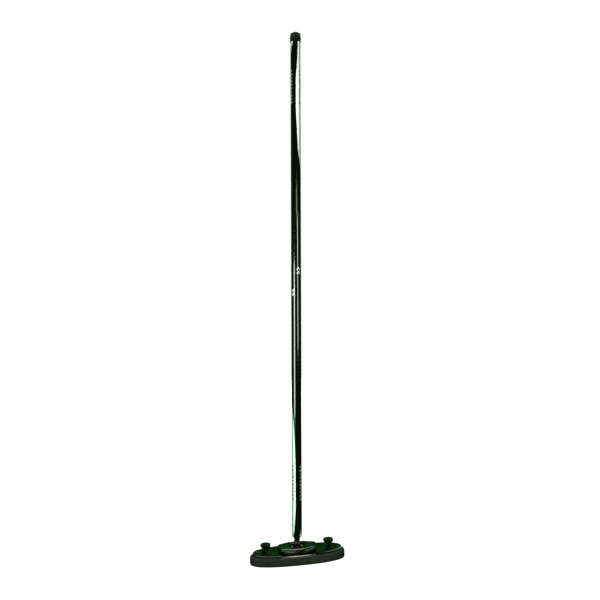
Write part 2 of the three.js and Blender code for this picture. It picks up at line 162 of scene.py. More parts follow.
# Heights on the handle are measured along it from the tilt pin.
TONGUE = {"half_thickness": 3.2, "radius": 6.0}
NECK = {"radius": 6.8, "bottom": 7.3, "top": 12.6, "stem_radius": 4.8, "stem_top": 34.0}
FERRULE = {"bottom": 12.9, "shoulder": 18.2, "lip": 18.6, "spigot": 10.0, "top": 92.0}
GLUE_GROOVES = (54, 64, 74)
SHAFT = {"radius": 11.9, "bore": 10.4, "bottom": 18.9, "top": 1197.5}
SHAFT_RINGS = 60
RIVET_HEIGHTS = {"lower": 42.0, "upper": 84.0}
RIVET = {"radius": 1.4, "hole": 1.7, "head": 2.3, "foot": 5.7, "seat": 12.1, "crown": 13.0}
RIVET_HOLE = (5.4, 20)
CAP = {"radius": 13.4, "bore": 12.2, "bottom": 1178.8, "top": 1202.0}
PLUG_BOTTOM = 1165.0

KNOB_X = sum(corner.x for corner in box_of("right_knob_cap")) / 2
KNOB_PLACES = ((-KNOB_X, 0), (KNOB_X, 0))
COLLAR = {"base": 9.5, "base_top": 23.6, "radius": 5.0, "top": 29.6, "bore": 2.75}
SPRING = {"radius": 4.1, "wire": 0.45, "bottom": 30.35, "top": 35.45, "turns": 4.5}
SPRING_WASHER = {"bore": 2.8, "radius": 5.4}
KNOB = {"base": 10.0, "radius": 12.2, "bottom": 37.2, "flare": 40.2, "rim": 44.1, "top": 45.8}
KNOB_ROOF = 42.5
KNOB_FLUTES = {"count": 36, "depth": 0.18}
SPINDLE = {"radius": 2.4, "bore": 2.7, "foot_radius": 3.4}

# The camera stands level with the handle's middle and is rolled by about the handle's lean.
CAMERA = {"distance": 1.524, "rise": 0.5934, "yaw": 7.1, "roll": 2.46, "lens": 38.92}
CAMERA_SHIFT = (0.005, -0.0158)
WORLD_FILL = {"colour": (0.4, 1, 0.45, 1), "strength": 0.015}

# Angles round the shaft are in degrees from the line that faces the camera, positive to its
# right. A stripe of painted shade, tinted green as a painted reflection, runs down the white
# bands on both sides, between two such angles.
PAINTED_SIDE_SHADE = {"start": 39, "end": 94, "ease": 4, "colour": (0.20, 0.46, 0.25)}

# The printed bands: (distance from that end of the tube, near edge, far edge).
UPPER_BAND = [
    (0, 29, 328),
    (19, 27, 304),
    (35, 24, 284),
    (52, 19, 266),
    (79, 8, 240),
    (110, 4, 222),
    (161, 5, 205),
    (208, 16, 180),
    (255, 28, 155),
    (300, 64, 130),
    (330, 100, 112),
]
LOWER_BAND = [
    (0, -44, -328),
    (12, -32, -306),
    (26, -25, -282),
    (42, -20, -264),
    (74, -13, -240),
    (153, -13, -205),
    (200, -20, -180),
    (247, -28, -155),
    (294, -52, -130),
    (345, -100, -112),
]

# Rows of slanted bars: (angle, lowest height, highest height). The dark ones lie over the bands.
BAR_LENGTHS = (5.0, 4.0, 4.6, 3.6)
BAR_GAP = 4.0
PALE_BARS = {"rows": ((-54, 1031, 1114), (52, 104, 191)), "width": 6.4, "lift": 0.02}
DARK_BARS = {"rows": ((56, 1031, 1114), (-50, 104, 191)), "width": 8.0, "lift": 0.09}

# Pairs of chevrons: (angle, height of the first one's arms, 1 to point up or -1 down).
CHEVRON_PLACES = ((26, 632, 1), (-40, 597, -1))
CHEVRON = {"width": 3.6, "arm": 7, "pitch": 9, "stroke": 12}


# ------------------------------------------------------------------ shells
# A shell is (points in millimetres, faces), closed, with its faces turned outwards.


def loft(rings, closed=False):
    """Skins rings of equally many points, each counter-clockwise seen from the side it rises to."""
    count = len(rings[0])
    points = [point for ring in rings for point in ring]
    faces = []
    for k in range(len(rings) if closed else len(rings) - 1):
        lower = k * count
        upper = (k + 1) % len(rings) * count
        for i in range(count):
            j = (i + 1) % count
            faces.append((lower + i, lower + j, upper + j, upper + i))
    if not closed:
        faces += ladder(range(count - 1, -1, -1))
        faces += ladder(range(len(points) - count, len(points)))
    return points, faces


def ladder(ring):
    """Closes a flat ring with rungs from one half of it to the other."""
    count = len(ring)
    faces = []
    for k in range((count - 1) // 2):
        corners = (ring[k], ring[k + 1], ring[count - k - 2], ring[count - k - 1])
        faces.append(tuple(dict.fromkeys(corners)))
    return faces


def turned(outline, sides=ROUND, ripple=None):
    """Turns a closed (radius, height) outline about Z. ripple(radius, height, angle) may ease it."""
    points = []
    rings = []
    for radius, height in outline:
        if radius < 1e-6:
            rings.append([len(points)] * sides)
            points.append((0, 0, height))
            continue
        rings.append(list(range(len(points), len(points) + sides)))
        for i in range(sides):
            angle = 2 * math.pi * i / sides
            reach = ripple(radius, height, angle) if ripple else radius
            points.append((reach * math.cos(angle), reach * math.sin(angle), height))
    faces = []
    for lower, upper in zip(rings, rings[1:] + rings[:1]):
        for i in range(sides):
            j = (i + 1) % sides
            corners = tuple(dict.fromkeys((lower[i], lower[j], upper[j], upper[i])))
            if len(corners) > 2:
                faces.append(corners)
    return points, faces


def eased(corners, steps=4):
    """An outline with its corners rounded: each is (across, up, length taken off both sides)."""
    outline = []
    for i, (across, up, ease) in enumerate(corners):
        corner = Vector((across, up))
        if not ease:
            outline.append(corner)
            continue
        before = Vector(corners[i - 1][:2])
        after = Vector(corners[(i + 1) % len(corners)][:2])
        start = corner + (before - corner).normalized() * ease
        end = corner + (after - corner).normalized() * ease
        for k in range(steps + 1):
            share = k / steps
            outline.append(start.lerp(corner, share).lerp(corner.lerp(end, share), share))
    return outline


def evenly(outline, count):
    """A closed outline walked round in equal steps."""
    corners = np.array([*outline, outline[0]], float)
    run = np.concatenate([[0], np.cumsum(np.linalg.norm(np.diff(corners, axis=0), axis=1))])
    walk = np.linspace(0, run[-1], count, endpoint=False)
    across = np.interp(walk, run, corners[:, 0])
    up = np.interp(walk, run, corners[:, 1])
    return [Vector(point) for point in zip(across, up)]


def inset(outline, distance):
    """A counter-clockwise outline moved inwards along its normals."""
    inner = []
    for i, point in enumerate(outline):
        along = (outline[(i + 1) % len(outline)] - outline[i - 1]).normalized()
        inner.append(point + Vector((-along.y, along.x)) * distance)
    return inner


def at_height(outline, height):
    return [(x, y, height) for x, y in outline]


def slab(outline, bottom, top, ease=0.3):
    """A flat piece of that outline, its upper and lower edges rounded."""
    soft = 0.3 * ease
    rings = [
        at_height(inset(outline, ease), bottom),
        at_height(inset(outline, soft), bottom + soft),
        at_height(outline, bottom + ease),
        at_height(outline, top - ease),
        at_height(inset(outline, soft), top - soft),
        at_height(inset(outline, ease), top),
    ]
    return loft(rings)


def rectangle(width, depth, ease, x=0, y=0):
    half, deep = width / 2, depth / 2
    corners = [(x - half, y - deep), (x + half, y - deep), (x + half, y + deep), (x - half, y + deep)]
    return eased([(across, up, ease) for across, up in corners])


def rod(radius, bottom, top, sides=SMALL_ROUND):
    return turned([(0, bottom), (radius, bottom), (radius, top), (0, top)], sides)


def tube_along(path, radius, sides=8):
    """A round wire along a path of points."""
    path = [Vector(point) for point in path]
    rings = []
    across = Vector((0, 0, 1))
    for i, point in enumerate(path):
        ahead = path[min(i + 1, len(path) - 1)]
        behind = path[max(i - 1, 0)]
        along = (ahead - behind).normalized()
        across = (across - along * across.dot(along)).normalized()
        other = along.cross(across)
        rings.append(
            [
                point
                + radius * math.cos(2 * math.pi * k / sides) * across
                + radius * math.sin(2 * math.pi * k / sides) * other
                for k in range(sides)
            ]
        )
    return loft(rings)


def moved(shell, matrix):
    points, faces = shell
    return [matrix @ Vector(point) for point in points], faces


def shifted(shell, x=0, y=0, z=0):
    return moved(shell, Matrix.Translation((x, y, z)))


def at_places(shell, places):
    """A copy of a shell at each (x, y)."""
    return [shifted(shell, x=x, y=y) for x, y in places]


def along_y(shell, height=0):
    """A shell built about Z, laid down so that its +Z points along -Y, at that height."""
    return moved(shell, Matrix.Translation((0, 0, height)) @ Matrix.Rotation(math.pi / 2, 4, "X"))


# ------------------------------------------------------------------ pieces

BODY_OF = {
    node: body
    for body, nodes in frame["record"]["behaviour"]["bodies"].items()
    for node in nodes
}


def make(name, *shells):
    """An object made of one or more shells."""
    points = []
    faces = []
    for shell_points, shell_faces in shells:
        start = len(points)
        points.extend(Vector(point) * MM for point in shell_points)
        faces.extend(tuple(start + corner for corner in face) for face in shell_faces)
    mesh = bpy.data.meshes.new(name)
    mesh.from_pydata(points, [], faces)
    made = bpy.data.objects.new(name, mesh)
    bpy.context.scene.collection.objects.link(made)
    return made


def settle(made):
    """Applies an object's modifiers."""
    graph = bpy.context.evaluated_depsgraph_get()
    mesh = bpy.data.meshes.new_from_object(made.evaluated_get(graph))
    made.modifiers.clear()
    made.data = mesh


def combine(made, operation, *shells):
    """Joins shells to an object, or cuts them from it."""
    for shell in shells:
        tool = make("tool", shell)
        change = made.modifiers.new("combine", "BOOLEAN")
        change.operation = operation
        change.solver = "EXACT"
        change.object = tool
        settle(made)
        bpy.data.objects.remove(tool)
    return made


def cut(made, *shells):
    return combine(made, "DIFFERENCE", *shells)


def join(made, *shells):
    return combine(made, "UNION", *shells)


def show(made, body, finish, nodes=(), crease=35):
    """Gives a piece its finish, and lets it ride on a body in place of its CAD nodes."""
    made.data.materials.clear()
    made.data.materials.append(FINISHES[finish])
    made.data.shade_smooth()
    made.data.set_sharp_from_angle(angle=math.radians(crease))
    if body == "handle":
        made.matrix_world = HANDLE_PLACE
    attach(made, body)
    if nodes:
        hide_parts(*nodes)


def stand_for(node, made, finish, crease=35):
    """Shows a piece in place of one CAD node, whose material slot has its finish's name."""
    made.name = f"{node}_look"
    show(made, BODY_OF[node], finish, [node], crease)


def piece(node, finish, shell, cutters=(), crease=35):
    """Makes a shell, less its cutters, into the piece for one CAD node."""
    made = make(node, shell)
    cut(made, *cutters)
    stand_for(node, made, finish, crease)
    return made


# ------------------------------------------------------------------ materials


class Finish:
    """A node material with one Principled surface. Constants are set on its own sockets."""

    def __init__(self, name, constants):
        self.material = bpy.data.materials.new(name)
        self.material.use_nodes = True
        self.nodes = self.material.node_tree.nodes
        self.links = self.material.node_tree.links
        self.surface = self.nodes["Principled BSDF"]
        for socket, value in constants.items():
            self.surface.inputs[socket].default_value = value
        self.place = self.add("ShaderNodeTexCoord").outputs["Object"]
        self.normal = None

    def add(self, kind, settings=None, **inputs):
        """Adds a node. Each input is a value or another node's output."""
        node = self.nodes.new(kind)
        for name, value in (settings or {}).items():
            setattr(node, name, value)
        for name, value in inputs.items():
            socket = node.inputs[int(name[1:]) if name[0] == "i" and name[1:].isdigit() else name]
            if isinstance(value, bpy.types.NodeSocket):
                self.links.new(value, socket)
            else:
                socket.default_value = value
        return node

    def stretched(self, scale):
        return self.add("ShaderNodeMapping", Vector=self.place, Scale=scale).outputs["Vector"]

    def noise(self, scale, detail=3, place=None):
        settings = {"Vector": place or self.place, "Scale": scale, "Detail": detail}
        return self.add("ShaderNodeTexNoise", None, **settings).outputs["Fac"]

    def cells(self, scale, place=None):
        settings = {"Vector": place or self.place, "Scale": scale}
        return self.add("ShaderNodeTexVoronoi", None, **settings).outputs["Distance"]

    def maths(self, operation, first, second=0.5):
        return self.add("ShaderNodeMath", {"operation": operation}, i0=first, i1=second).outputs[0]

    def spread(self, value, low, high, from_low=0.3, from_high=0.7):
        """value, from its usual range to low..high."""
        ranges = {
            "Value": value,
            "From Min": from_low,
            "From Max": from_high,
            "To Min": low,
            "To Max": high,
        }
        return self.add("ShaderNodeMapRange", None, **ranges).outputs["Result"]

    def blend(self, share, first, second):
        """A colour between two, by share."""
        node = self.add("ShaderNodeMix", {"data_type": "RGBA"}, Factor=share)
        colours = [socket for socket in node.inputs if socket.type == "RGBA"]
        for socket, colour in zip(colours, (first, second)):
            if isinstance(colour, bpy.types.NodeSocket):
                self.links.new(colour, socket)
            else:
                socket.default_value = (*colour, 1)
        return next(socket for socket in node.outputs if socket.type == "RGBA")

    def edges(self, radius=0.35):
        """Near 1 on worn corners, 0 on flat faces."""
        soft = self.add("ShaderNodeBevel", {"samples": 4}, Radius=radius * MM).outputs["Normal"]
        true = self.add("ShaderNodeNewGeometry").outputs["Normal"]
        turn = self.add("ShaderNodeVectorMath", {"operation": "DOT_PRODUCT"}, i0=soft, i1=true)
        bend = self.maths("SUBTRACT", 1.0, turn.outputs["Value"])
        broken = self.maths("MULTIPLY", bend, self.spread(self.noise(220, 5), 0.2, 1.6))
        return self.spread(broken, 0, 1, 0.03, 0.2)

    def colour(self, value):
        self.links.new(value, self.surface.inputs["Base Color"])

    def rough(self, value):
        self.links.new(value, self.surface.inputs["Roughness"])

    def relief(self, height, depth, strength=1.0):
        """Adds bump of that depth in millimetres."""
        inputs = {"Height": height, "Strength": strength, "Distance": depth * MM}
        if self.normal:
            inputs["Normal"] = self.normal
        self.normal = self.add("ShaderNodeBump", None, **inputs).outputs["Normal"]
        self.links.new(self.normal, self.surface.inputs["Normal"])


# Gloss that turns green where a surface is seen at a low angle.
GREEN_EDGE = {"Sheen Weight": 0.6, "Sheen Roughness": 0.3, "Sheen Tint": (0.02, 0.8, 0.06, 1)}


def cover_fabric():
    """Closely woven nylon: crossed threads, fuzz, blotches, and painted shade, deep green, near the
    lower edge and round the ends.
    """
    fuzz = {"Sheen Weight": 0.1, "Sheen Roughness": 0.5, "Sheen Tint": (0.1, 0.4, 0.12, 1)}
    made = Finish("cover_fabric", fuzz)
    weave = made.add("ShaderNodeUVMap", {"uv_map": "weave"}).outputs["UV"]
    split = made.add("ShaderNodeSeparateXYZ", Vector=weave)
    thread = math.pi / (0.45 * MM)
    warp = made.maths("SINE", made.maths("MULTIPLY", split.outputs["X"], thread))
    weft = made.maths("SINE", made.maths("MULTIPLY", split.outputs["Y"], thread))
    over = made.maths("MULTIPLY", warp, weft)
    blotch = made.noise(38, 4)
    cloth = made.blend(made.spread(over, 0, 1, -1, 1), (0.011, 0.014, 0.010), (0.029, 0.034, 0.026))
    faded = made.blend(made.spread(blotch, 0, 0.4), cloth, (0.055, 0.062, 0.050))
    across = made.add("ShaderNodeSeparateXYZ", Vector=made.place)
    # Painted shade: the cloth darkens to deep green towards its lower edge and its ends, but not on the
    # face lying on the ice.
    low = made.spread(across.outputs["Z"], 1, 0, *(height * MM for height in PAINTED_COVER_SHADE["heights"]))
    reach = made.maths("ABSOLUTE", across.outputs["X"])
    end = made.spread(reach, 0, 1, *(distance * MM for distance in PAINTED_COVER_SHADE["ends"]))
    off_ice = made.spread(across.outputs["Z"], 0, 1, 0.1 * MM, 0.3 * MM)
    painted_shade = made.maths("MULTIPLY", made.maths("MAXIMUM", low, end), off_ice)
    made.colour(made.blend(painted_shade, faded, PAINTED_COVER_SHADE["colour"]))
    made.rough(made.spread(over, 0.86, 0.68, -1, 1))
    made.relief(over, 0.12, 0.7)
    made.relief(made.noise(900, 2), 0.05, 0.5)
    return made.material


def seam_thread():
    """Twisted polyester thread."""
    sheen = {"Sheen Weight": 0.2, "Sheen Roughness": 0.4, "Sheen Tint": (0.6, 0.9, 0.6, 1)}
    made = Finish("seam_thread", sheen)
    twist = made.add("ShaderNodeTexWave", {"bands_direction": "DIAGONAL"}, Vector=made.place, Scale=900)
    ply = twist.outputs["Fac"]
    made.colour(made.blend(ply, (0.02, 0.028, 0.02), (0.06, 0.075, 0.06)))
    made.rough(made.spread(ply, 0.7, 0.55, 0, 1))
    made.relief(ply, 0.08)
    return made.material


def pad_foam():
    """Open-cell foam: small cells with paler walls."""
    made = Finish("pad_foam", {"Subsurface Weight": 0.1})
    cell = made.cells(700)
    made.colour(made.blend(made.spread(cell, 0, 1, 0, 0.7), (0.52, 0.50, 0.43), (0.80, 0.78, 0.70)))
    made.rough(made.spread(made.noise(60), 0.85, 0.98))
    made.relief(cell, 0.5, 0.8)
    return made.material


def moulded(name, dark, light, shine, grain, constants=None):
    """Moulded plastic: faint flow marks, fine spark-eroded grain, and corners rubbed paler."""
    made = Finish(name, constants or {})
    flow = made.noise(26, 4)
    speck = made.noise(1500, 2)
    body = made.blend(made.spread(flow, 0, 1), dark, light)
    worn = tuple(min(1, 2.5 * part + 0.004) for part in light)
    made.colour(made.blend(made.maths("MULTIPLY", made.edges(), 0.5), body, worn))
    made.rough(made.spread(flow, shine - 0.04, shine + 0.05))
    made.relief(speck, grain, 0.6)
    return made.material


def head_plastic():
    light = (0.0018, 0.0042, 0.0018)
    return moulded("head_plastic", (0.0008, 0.0025, 0.0008), light, shine=0.2, grain=0.01)


def knob_plastic():
    light = (0.0024, 0.005, 0.0024)
    return moulded("knob_plastic", (0.001, 0.003, 0.001), light, shine=0.38, grain=0.03)


def plate_plastic():
    pale = (0.18, 0.19, 0.175)
    return moulded("plate_plastic", (0.13, 0.14, 0.13), pale, shine=0.5, grain=0.05)


def bearing_nylon():
    return moulded(
        "bearing_nylon",
        (0.62, 0.60, 0.53),
        (0.74, 0.72, 0.65),
        shine=0.42,
        grain=0.02,
        constants={"Subsurface Weight": 0.08},
    )


def metal(name, dark, light, shine):
    """Turned or drawn metal: brushing round the piece, smudges, and brighter worn corners."""
    made = Finish(name, {"Metallic": 1.0})
    lines = made.noise(420, 3, made.stretched((1, 1, 14)))
    smudge = made.noise(90, 4)
    body = made.blend(made.spread(smudge, 0, 1), dark, light)
    bright = tuple(min(1, 1.25 * part + 0.05) for part in light)
    made.colour(made.blend(made.edges(0.2), body, bright))
    uneven = made.spread(smudge, shine - 0.05, shine + 0.1)
    made.rough(made.maths("ADD", uneven, made.maths("MULTIPLY", lines, 0.08)))
    made.relief(lines, 0.02, 0.25)
    return made.material


def steel():
    return metal("steel", (0.50, 0.50, 0.48), (0.68, 0.68, 0.66), shine=0.26)


# Brass stands in for a warm reflection on two of the ring screws: a painted reflection.
def brass():
    return metal("brass", (0.50, 0.36, 0.17), (0.76, 0.58, 0.32), shine=0.28)


def joint_metal():
    return metal("joint_metal", (0.016, 0.024, 0.016), (0.04, 0.05, 0.04), shine=0.36)


def shaft_lacquer():
    """Deep gloss lacquer over a composite tube: faint fibre wrap and fine hairlines."""
    made = Finish("shaft_lacquer", {**GREEN_EDGE, "Coat Weight": 0.4, "Coat Roughness": 0.04})
    wrap = made.noise(60, 5, made.stretched((1, 1, 0.15)))
    hairs = made.noise(1400, 2, made.stretched((1, 1, 0.04)))
    made.colour(made.blend(made.spread(wrap, 0, 1), (0.0004, 0.0012, 0.0004), (0.0014, 0.003, 0.0014)))
    made.rough(made.spread(hairs, 0.10, 0.13))
    return made.material


def printed(name, dark, light):
    """Ink under the shaft's clear coat, laid down a little unevenly. Also gives its colour."""
    made = Finish(name, {"Coat Weight": 0.4, "Coat Roughness": 0.06})
    lay = made.noise(500, 3, made.stretched((1, 1, 0.3)))
    ink = made.blend(made.spread(lay, 0, 1), dark, light)
    made.colour(ink)
    made.rough(made.spread(made.noise(160), 0.22, 0.34))
    return made, ink


def white_print():
    """White, with painted shade tinted green down each side of the shaft, as the camera sees it."""
    made, white = printed("white_print", (0.66, 0.70, 0.66), (0.74, 0.78, 0.74))
    front = (math.cos(facing_angle(0)), math.sin(facing_angle(0)), 0)
    product = made.add("ShaderNodeVectorMath", {"operation": "DOT_PRODUCT"}, i0=made.place, i1=front)
    depth = product.outputs["Value"]

    def past(turn):
        places = [math.cos(math.radians(turn + step)) for step in (0, PAINTED_SIDE_SHADE["ease"])]
        radius = SHAFT["radius"] * MM
        return made.spread(depth, 1, 0, radius * places[1], radius * places[0])

    # Painted shade with a painted green reflection: between the two angles on each side the white turns
    # pale green.
    share = made.maths("SUBTRACT", past(PAINTED_SIDE_SHADE["start"]), past(PAINTED_SIDE_SHADE["end"]))
    made.colour(made.blend(share, white, PAINTED_SIDE_SHADE["colour"]))
    return made.material


def dark_print():
    made, _ = printed("dark_print", (0.004, 0.008, 0.004), (0.012, 0.018, 0.012))
    return made.material


def cap_rubber():
    """Matt rubber with a dusty bloom."""
    made = Finish("cap_rubber", GREEN_EDGE)
    bloom = made.noise(70, 5)
    made.colour(made.blend(made.spread(bloom, 0, 1), (0.002, 0.004, 0.002), (0.005, 0.009, 0.005)))
    made.rough(made.spread(bloom, 0.62, 0.8))
    made.relief(made.noise(1300, 3), 0.06, 0.6)
    return made.material


FINISHES = {
    build.__name__: build()
    for build in (
        cover_fabric,
        seam_thread,
        pad_foam,
        head_plastic,
        knob_plastic,
        plate_plastic,
        bearing_nylon,
        steel,
        brass,
        joint_metal,
        shaft_lacquer,
        white_print,
        dark_print,
        cap_rubber,
    )
}


# ------------------------------------------------------------------ the oval plan


def superellipse(angles, half_length, half_width):
    across = np.cos(angles)
    up = np.sin(angles)
    power = 2 / OVAL_POWER
    return (
        half_length * np.sign(across) * np.abs(across) ** power,
        half_width * np.sign(up) * np.abs(up) ** power,
    )


def even_angles(half_length, half_width, count):
    """The angles that part an oval into equal lengths, and that length."""
    fine = np.linspace(0, 2 * math.pi, 8001)
    x, y = superellipse(fine, half_length, half_width)
    run = np.concatenate([[0], np.cumsum(np.hypot(np.diff(x), np.diff(y)))])
    walk = np.linspace(0, run[-1], count, endpoint=False)
    return np.interp(walk, run, fine), run[-1]


OVAL_ANGLES, PAD_GIRTH = even_angles(PAD_HIGH.x, PAD_HIGH.y, OVAL_COLUMNS)


def oval(half_length, half_width):
    x, y = superellipse(OVAL_ANGLES, half_length, half_width)
    return [Vector(point) for point in zip(x, y)]


def oval_section(half_length, half_width, section):
    """A shell with that oval plan, from a section of (inset, height)."""
    rings = [
        at_height(oval(half_length - depth, half_width - depth), height)
        for depth, height in section
    ]
    return loft(rings)


# ------------------------------------------------------------------ brush pad


def arc(centre, radius, start, end, steps=6):
    """Points on an arc, as (across, up)."""
    angles = [math.radians(start + (end - start) * k / steps) for k in range(steps + 1)]
    return [
        (centre[0] + radius * math.cos(angle), centre[1] + radius * math.sin(angle))
        for angle in angles
    ]


def cover_section():
    """(inset, height) from the middle of the sweeping face, up the side and in over the hem."""
    height = PAD_HIGH.z
    low_seam, high_seam = SEAM_HEIGHTS
    face = [(depth, 0) for depth in np.arange(COVER_MIDDLE, COVER_EDGE + 1, -3.0)]
    lower = arc((COVER_EDGE, COVER_EDGE), COVER_EDGE, 270, 180)
    seam = [(0, low_seam - 0.3), (0, low_seam), (0, low_seam + 0.3)]
    side = [(0, level) for level in np.linspace(low_seam + 1.2, high_seam - 1.2, 8)]
    hem_seam = [(0, high_seam - 0.3), (0, high_seam), (0, high_seam + 0.3)]
    upper = arc((COVER_EDGE, height - COVER_EDGE), COVER_EDGE, 180, 90)
    hem = [(depth, height) for depth in np.linspace(COVER_EDGE + 1.5, COVER_HEM, 5)]
    return face + lower + seam + side + hem_seam + upper + hem


def pull_in(depth, height, column):
    """How far the stitching draws the cloth in at a point of the section."""
    if depth > COVER_EDGE:
        return 0
    along = PAD_GIRTH * column / OVAL_COLUMNS
    total = 0
    for seam in SEAM_HEIGHTS:
        away = abs(height - seam)
        groove = SEAM_GROOVE["depth"] * math.exp(-((away / SEAM_GROOVE["reach"]) ** 2))
        uneven = noise.noise((along / PUCKER["drift"], seam, 0))
        wave = math.cos(2 * math.pi * along / PUCKER["length"] + 2 * uneven)
        pucker = PUCKER["depth"] * (0.6 + uneven) * wave * math.exp(-((away / PUCKER["reach"]) ** 2))
        total += groove + pucker
    return total


def cover_rings():
    """The cover's outer surface before it is stuffed."""
    rings = []
    for depth, height in cover_section():
        outline = oval(PAD_HIGH.x - depth, PAD_HIGH.y - depth)
        drawn = [pull_in(depth, height, column) for column in range(OVAL_COLUMNS)]
        turned_in = inset(outline, 1)
        ring = [
            (*point.lerp(inner, draw), height)
            for point, inner, draw in zip(outline, turned_in, drawn)
        ]
        rings.append(ring)
    return rings


def stuff(rings):
    """Blows the closed cover up a little between its seams, and returns the rings moved."""
    height = PAD_HIGH.z
    lid = [
        at_height(oval(PAD_HIGH.x - depth, PAD_HIGH.y - depth), height)
        for depth in np.linspace(COVER_HEM + 3, COVER_MIDDLE, 7)
    ]
    trial = make("trial", loft(rings + lid))
    held = trial.vertex_groups.new(name="held")
    for row, (depth, level) in enumerate(cover_section() + [(COVER_MIDDLE, height)] * len(lid)):
        stitched = min(abs(level - seam) for seam in SEAM_HEIGHTS) < 0.4
        if stitched or depth > COVER_EDGE + 1:
            first = row * OVAL_COLUMNS
            held.add(range(first, first + OVAL_COLUMNS), 1.0, "REPLACE")
    cloth = trial.modifiers.new("cloth", "CLOTH")
    settings = cloth.settings
    settings.quality = 6
    settings.mass = 0.1
    settings.tension_stiffness = 8
    settings.compression_stiffness = 8
    settings.bending_stiffness = 0.05
    settings.use_pressure = True
    settings.uniform_pressure_force = 4
    settings.effector_weights.gravity = 0
    settings.vertex_group_mass = "held"
    for number in range(1, CLOTH_FRAMES + 1):
        bpy.context.scene.frame_set(number)
    graph = bpy.context.evaluated_depsgraph_get()
    blown = trial.evaluated_get(graph).to_mesh()
    count = len(rings) * OVAL_COLUMNS
    start = np.array([point for ring in rings for point in ring], float)
    end = np.array([vertex.co for vertex in blown.vertices], float)[:count] / MM
    step = end - start
    length = np.linalg.norm(step, axis=1, keepdims=True)
    step *= np.minimum(1, PUFF_CAP / np.maximum(length, 1e-9))
    final = start + step
    final[:, 2] = np.clip(final[:, 2], 0, height)
    bpy.context.scene.frame_set(1)
    bpy.data.objects.remove(trial)
    return [
        [tuple(point) for point in final[row * OVAL_COLUMNS : (row + 1) * OVAL_COLUMNS]]
        for row in range(len(rings))
    ]


def lined(rings):
    """Outer rings with the cloth's inner face added, a wall's thickness inside them."""
    skin = make("skin", loft(rings))
    inner = []
    for row in range(len(rings)):
        first = row * OVAL_COLUMNS
        ring = []
        for vertex in skin.data.vertices[first : first + OVAL_COLUMNS]:
            ring.append(vertex.co / MM - vertex.normal * COVER_WALL)
        inner.append(ring)
    bpy.data.objects.remove(skin)
    last = PAD_HIGH.z - COVER_WALL
    inner[-1] = [(x, y, last) for x, y, _ in inner[-1]]
    return rings + inner[::-1]


def lay_weave(made):
    """Maps the weave in metres: flat on the face and the hem, and along the side between them."""
    layer = made.data.uv_layers.new(name="weave")
    low_seam, high_seam = SEAM_HEIGHTS
    for face in made.data.polygons:
        middle = face.center.z / MM
        for loop in face.loop_indices:
            index = made.data.loops[loop].vertex_index
            place = made.data.vertices[index].co
            if low_seam < middle < high_seam:
                column = index % OVAL_COLUMNS
                if column == 0 and (face.index % OVAL_COLUMNS) == OVAL_COLUMNS - 1:
                    column = OVAL_COLUMNS
                along = PAD_GIRTH * MM * column / OVAL_COLUMNS
                layer.data[loop].uv = (along, place.z)
            else:
                layer.data[loop].uv = (place.x, place.y)


def cover():
    rings = cover_rings()
    rings = stuff(rings)
    made = make("pad_cover_look", loft(lined(rings)))
    lay_weave(made)
    finer = made.modifiers.new("finer", "SUBSURF")
    finer.levels = 1
    finer.render_levels = 1
    settle(made)
    stand_for("pad_cover", made, "cover_fabric", crease=60)
    return made


def stitches(cloth):
    """Thread along both seams, each stitch lying on the cloth and dipping in at its ends."""
    tree = BVHTree.FromPolygons(
        [vertex.co / MM for vertex in cloth.data.vertices],
        [tuple(face.vertices) for face in cloth.data.polygons],
    )
    shells = []
    count = round(PAD_GIRTH / STITCH["pitch"])
    angles, _ = even_angles(PAD_HIGH.x, PAD_HIGH.y, count)
    for height in SEAM_HEIGHTS:
        x, y = superellipse(angles, PAD_HIGH.x + 3, PAD_HIGH.y + 3)
        for i in range(count):
            here = Vector((x[i], y[i], height))
            ahead = Vector((x[(i + 1) % count], y[(i + 1) % count], height))
            along = (ahead - here).normalized()
            path = []
            for share, lift in STITCH_ARCH:
                aim = here + along * (STITCH["length"] * share)
                spot, normal, _, _ = tree.find_nearest(aim)
                path.append(spot + normal * (lift + 0.1))
            shells.append(tube_along(path, STITCH["radius"], 6))
    made = make("cover_stitching", *shells)
    show(made, "head", "seam_thread", crease=60)


def foam():
    """The block inside the cover: its edges eased, its top hollowed under each locking bar."""
    half_width = PAD_HIGH.y - (PAD_HIGH.x - FOAM_HIGH.x)
    bottom, top = FOAM_LOW.z, FOAM_HIGH.z
    lower, upper = FOAM_EDGE["lower"], FOAM_EDGE["upper"]
    section = [(FOAM_MIDDLE, bottom), (lower, bottom)]
    section += arc((lower, bottom + lower), lower, 270, 180)[1:]
    section += arc((upper, top - upper), upper, 180, 90)
    section += [(FOAM_MIDDLE, top)]
    radius, bottom, top = FOAM_POCKET["radius"], FOAM_POCKET["bottom"], FOAM_POCKET["top"]
    pocket = turned(eased([(0, bottom, 0), (radius, bottom, 2), (radius, top, 0), (0, top, 0)]))
    block = oval_section(FOAM_HIGH.x, half_width, section)
    made = piece("foam_pad", "pad_foam", block, at_places(pocket, KNOB_PLACES))


def backing_plate():
    """The pad's stiff plate, with the slot that each locking bar passes through."""
    bottom, top = PLATE_LOW.z, PLATE_HIGH.z
    section = [(PLATE_MIDDLE, bottom), (0.6, bottom), (0, bottom + 0.6)]
    section += [(0, top - 0.8), (0.8, top), (PLATE_MIDDLE, top)]
    plate = oval_section(PLATE_HIGH.x, PLATE_HIGH.y, section)
    slot = slab(rectangle(*PLATE_SLOT, 1.5), bottom - 2, top + 2)
    piece("pad_base_plate", "plate_plastic", plate, at_places(slot, KNOB_PLACES))


# ------------------------------------------------------------------ carrier and turret


def wing_share(x):
    """1 along each wing, 0 in front of and behind the turret, eased between."""
    share = (abs(x) - CARRIER_WINDOW) / CARRIER_WINDOW_EASE + 0.5
    share = min(1, max(0, share))
    return share * share * (3 - 2 * share)


def turret_screw_places():
    x, y = TURRET_SCREW_PLACE
    return [(-x, -y), (x, -y), (x, y), (-x, y)]


def ring_screw_places():
    return [polar(RING_SCREW_CIRCLE, degrees) for degrees in RING_SCREW_ANGLES.values()]


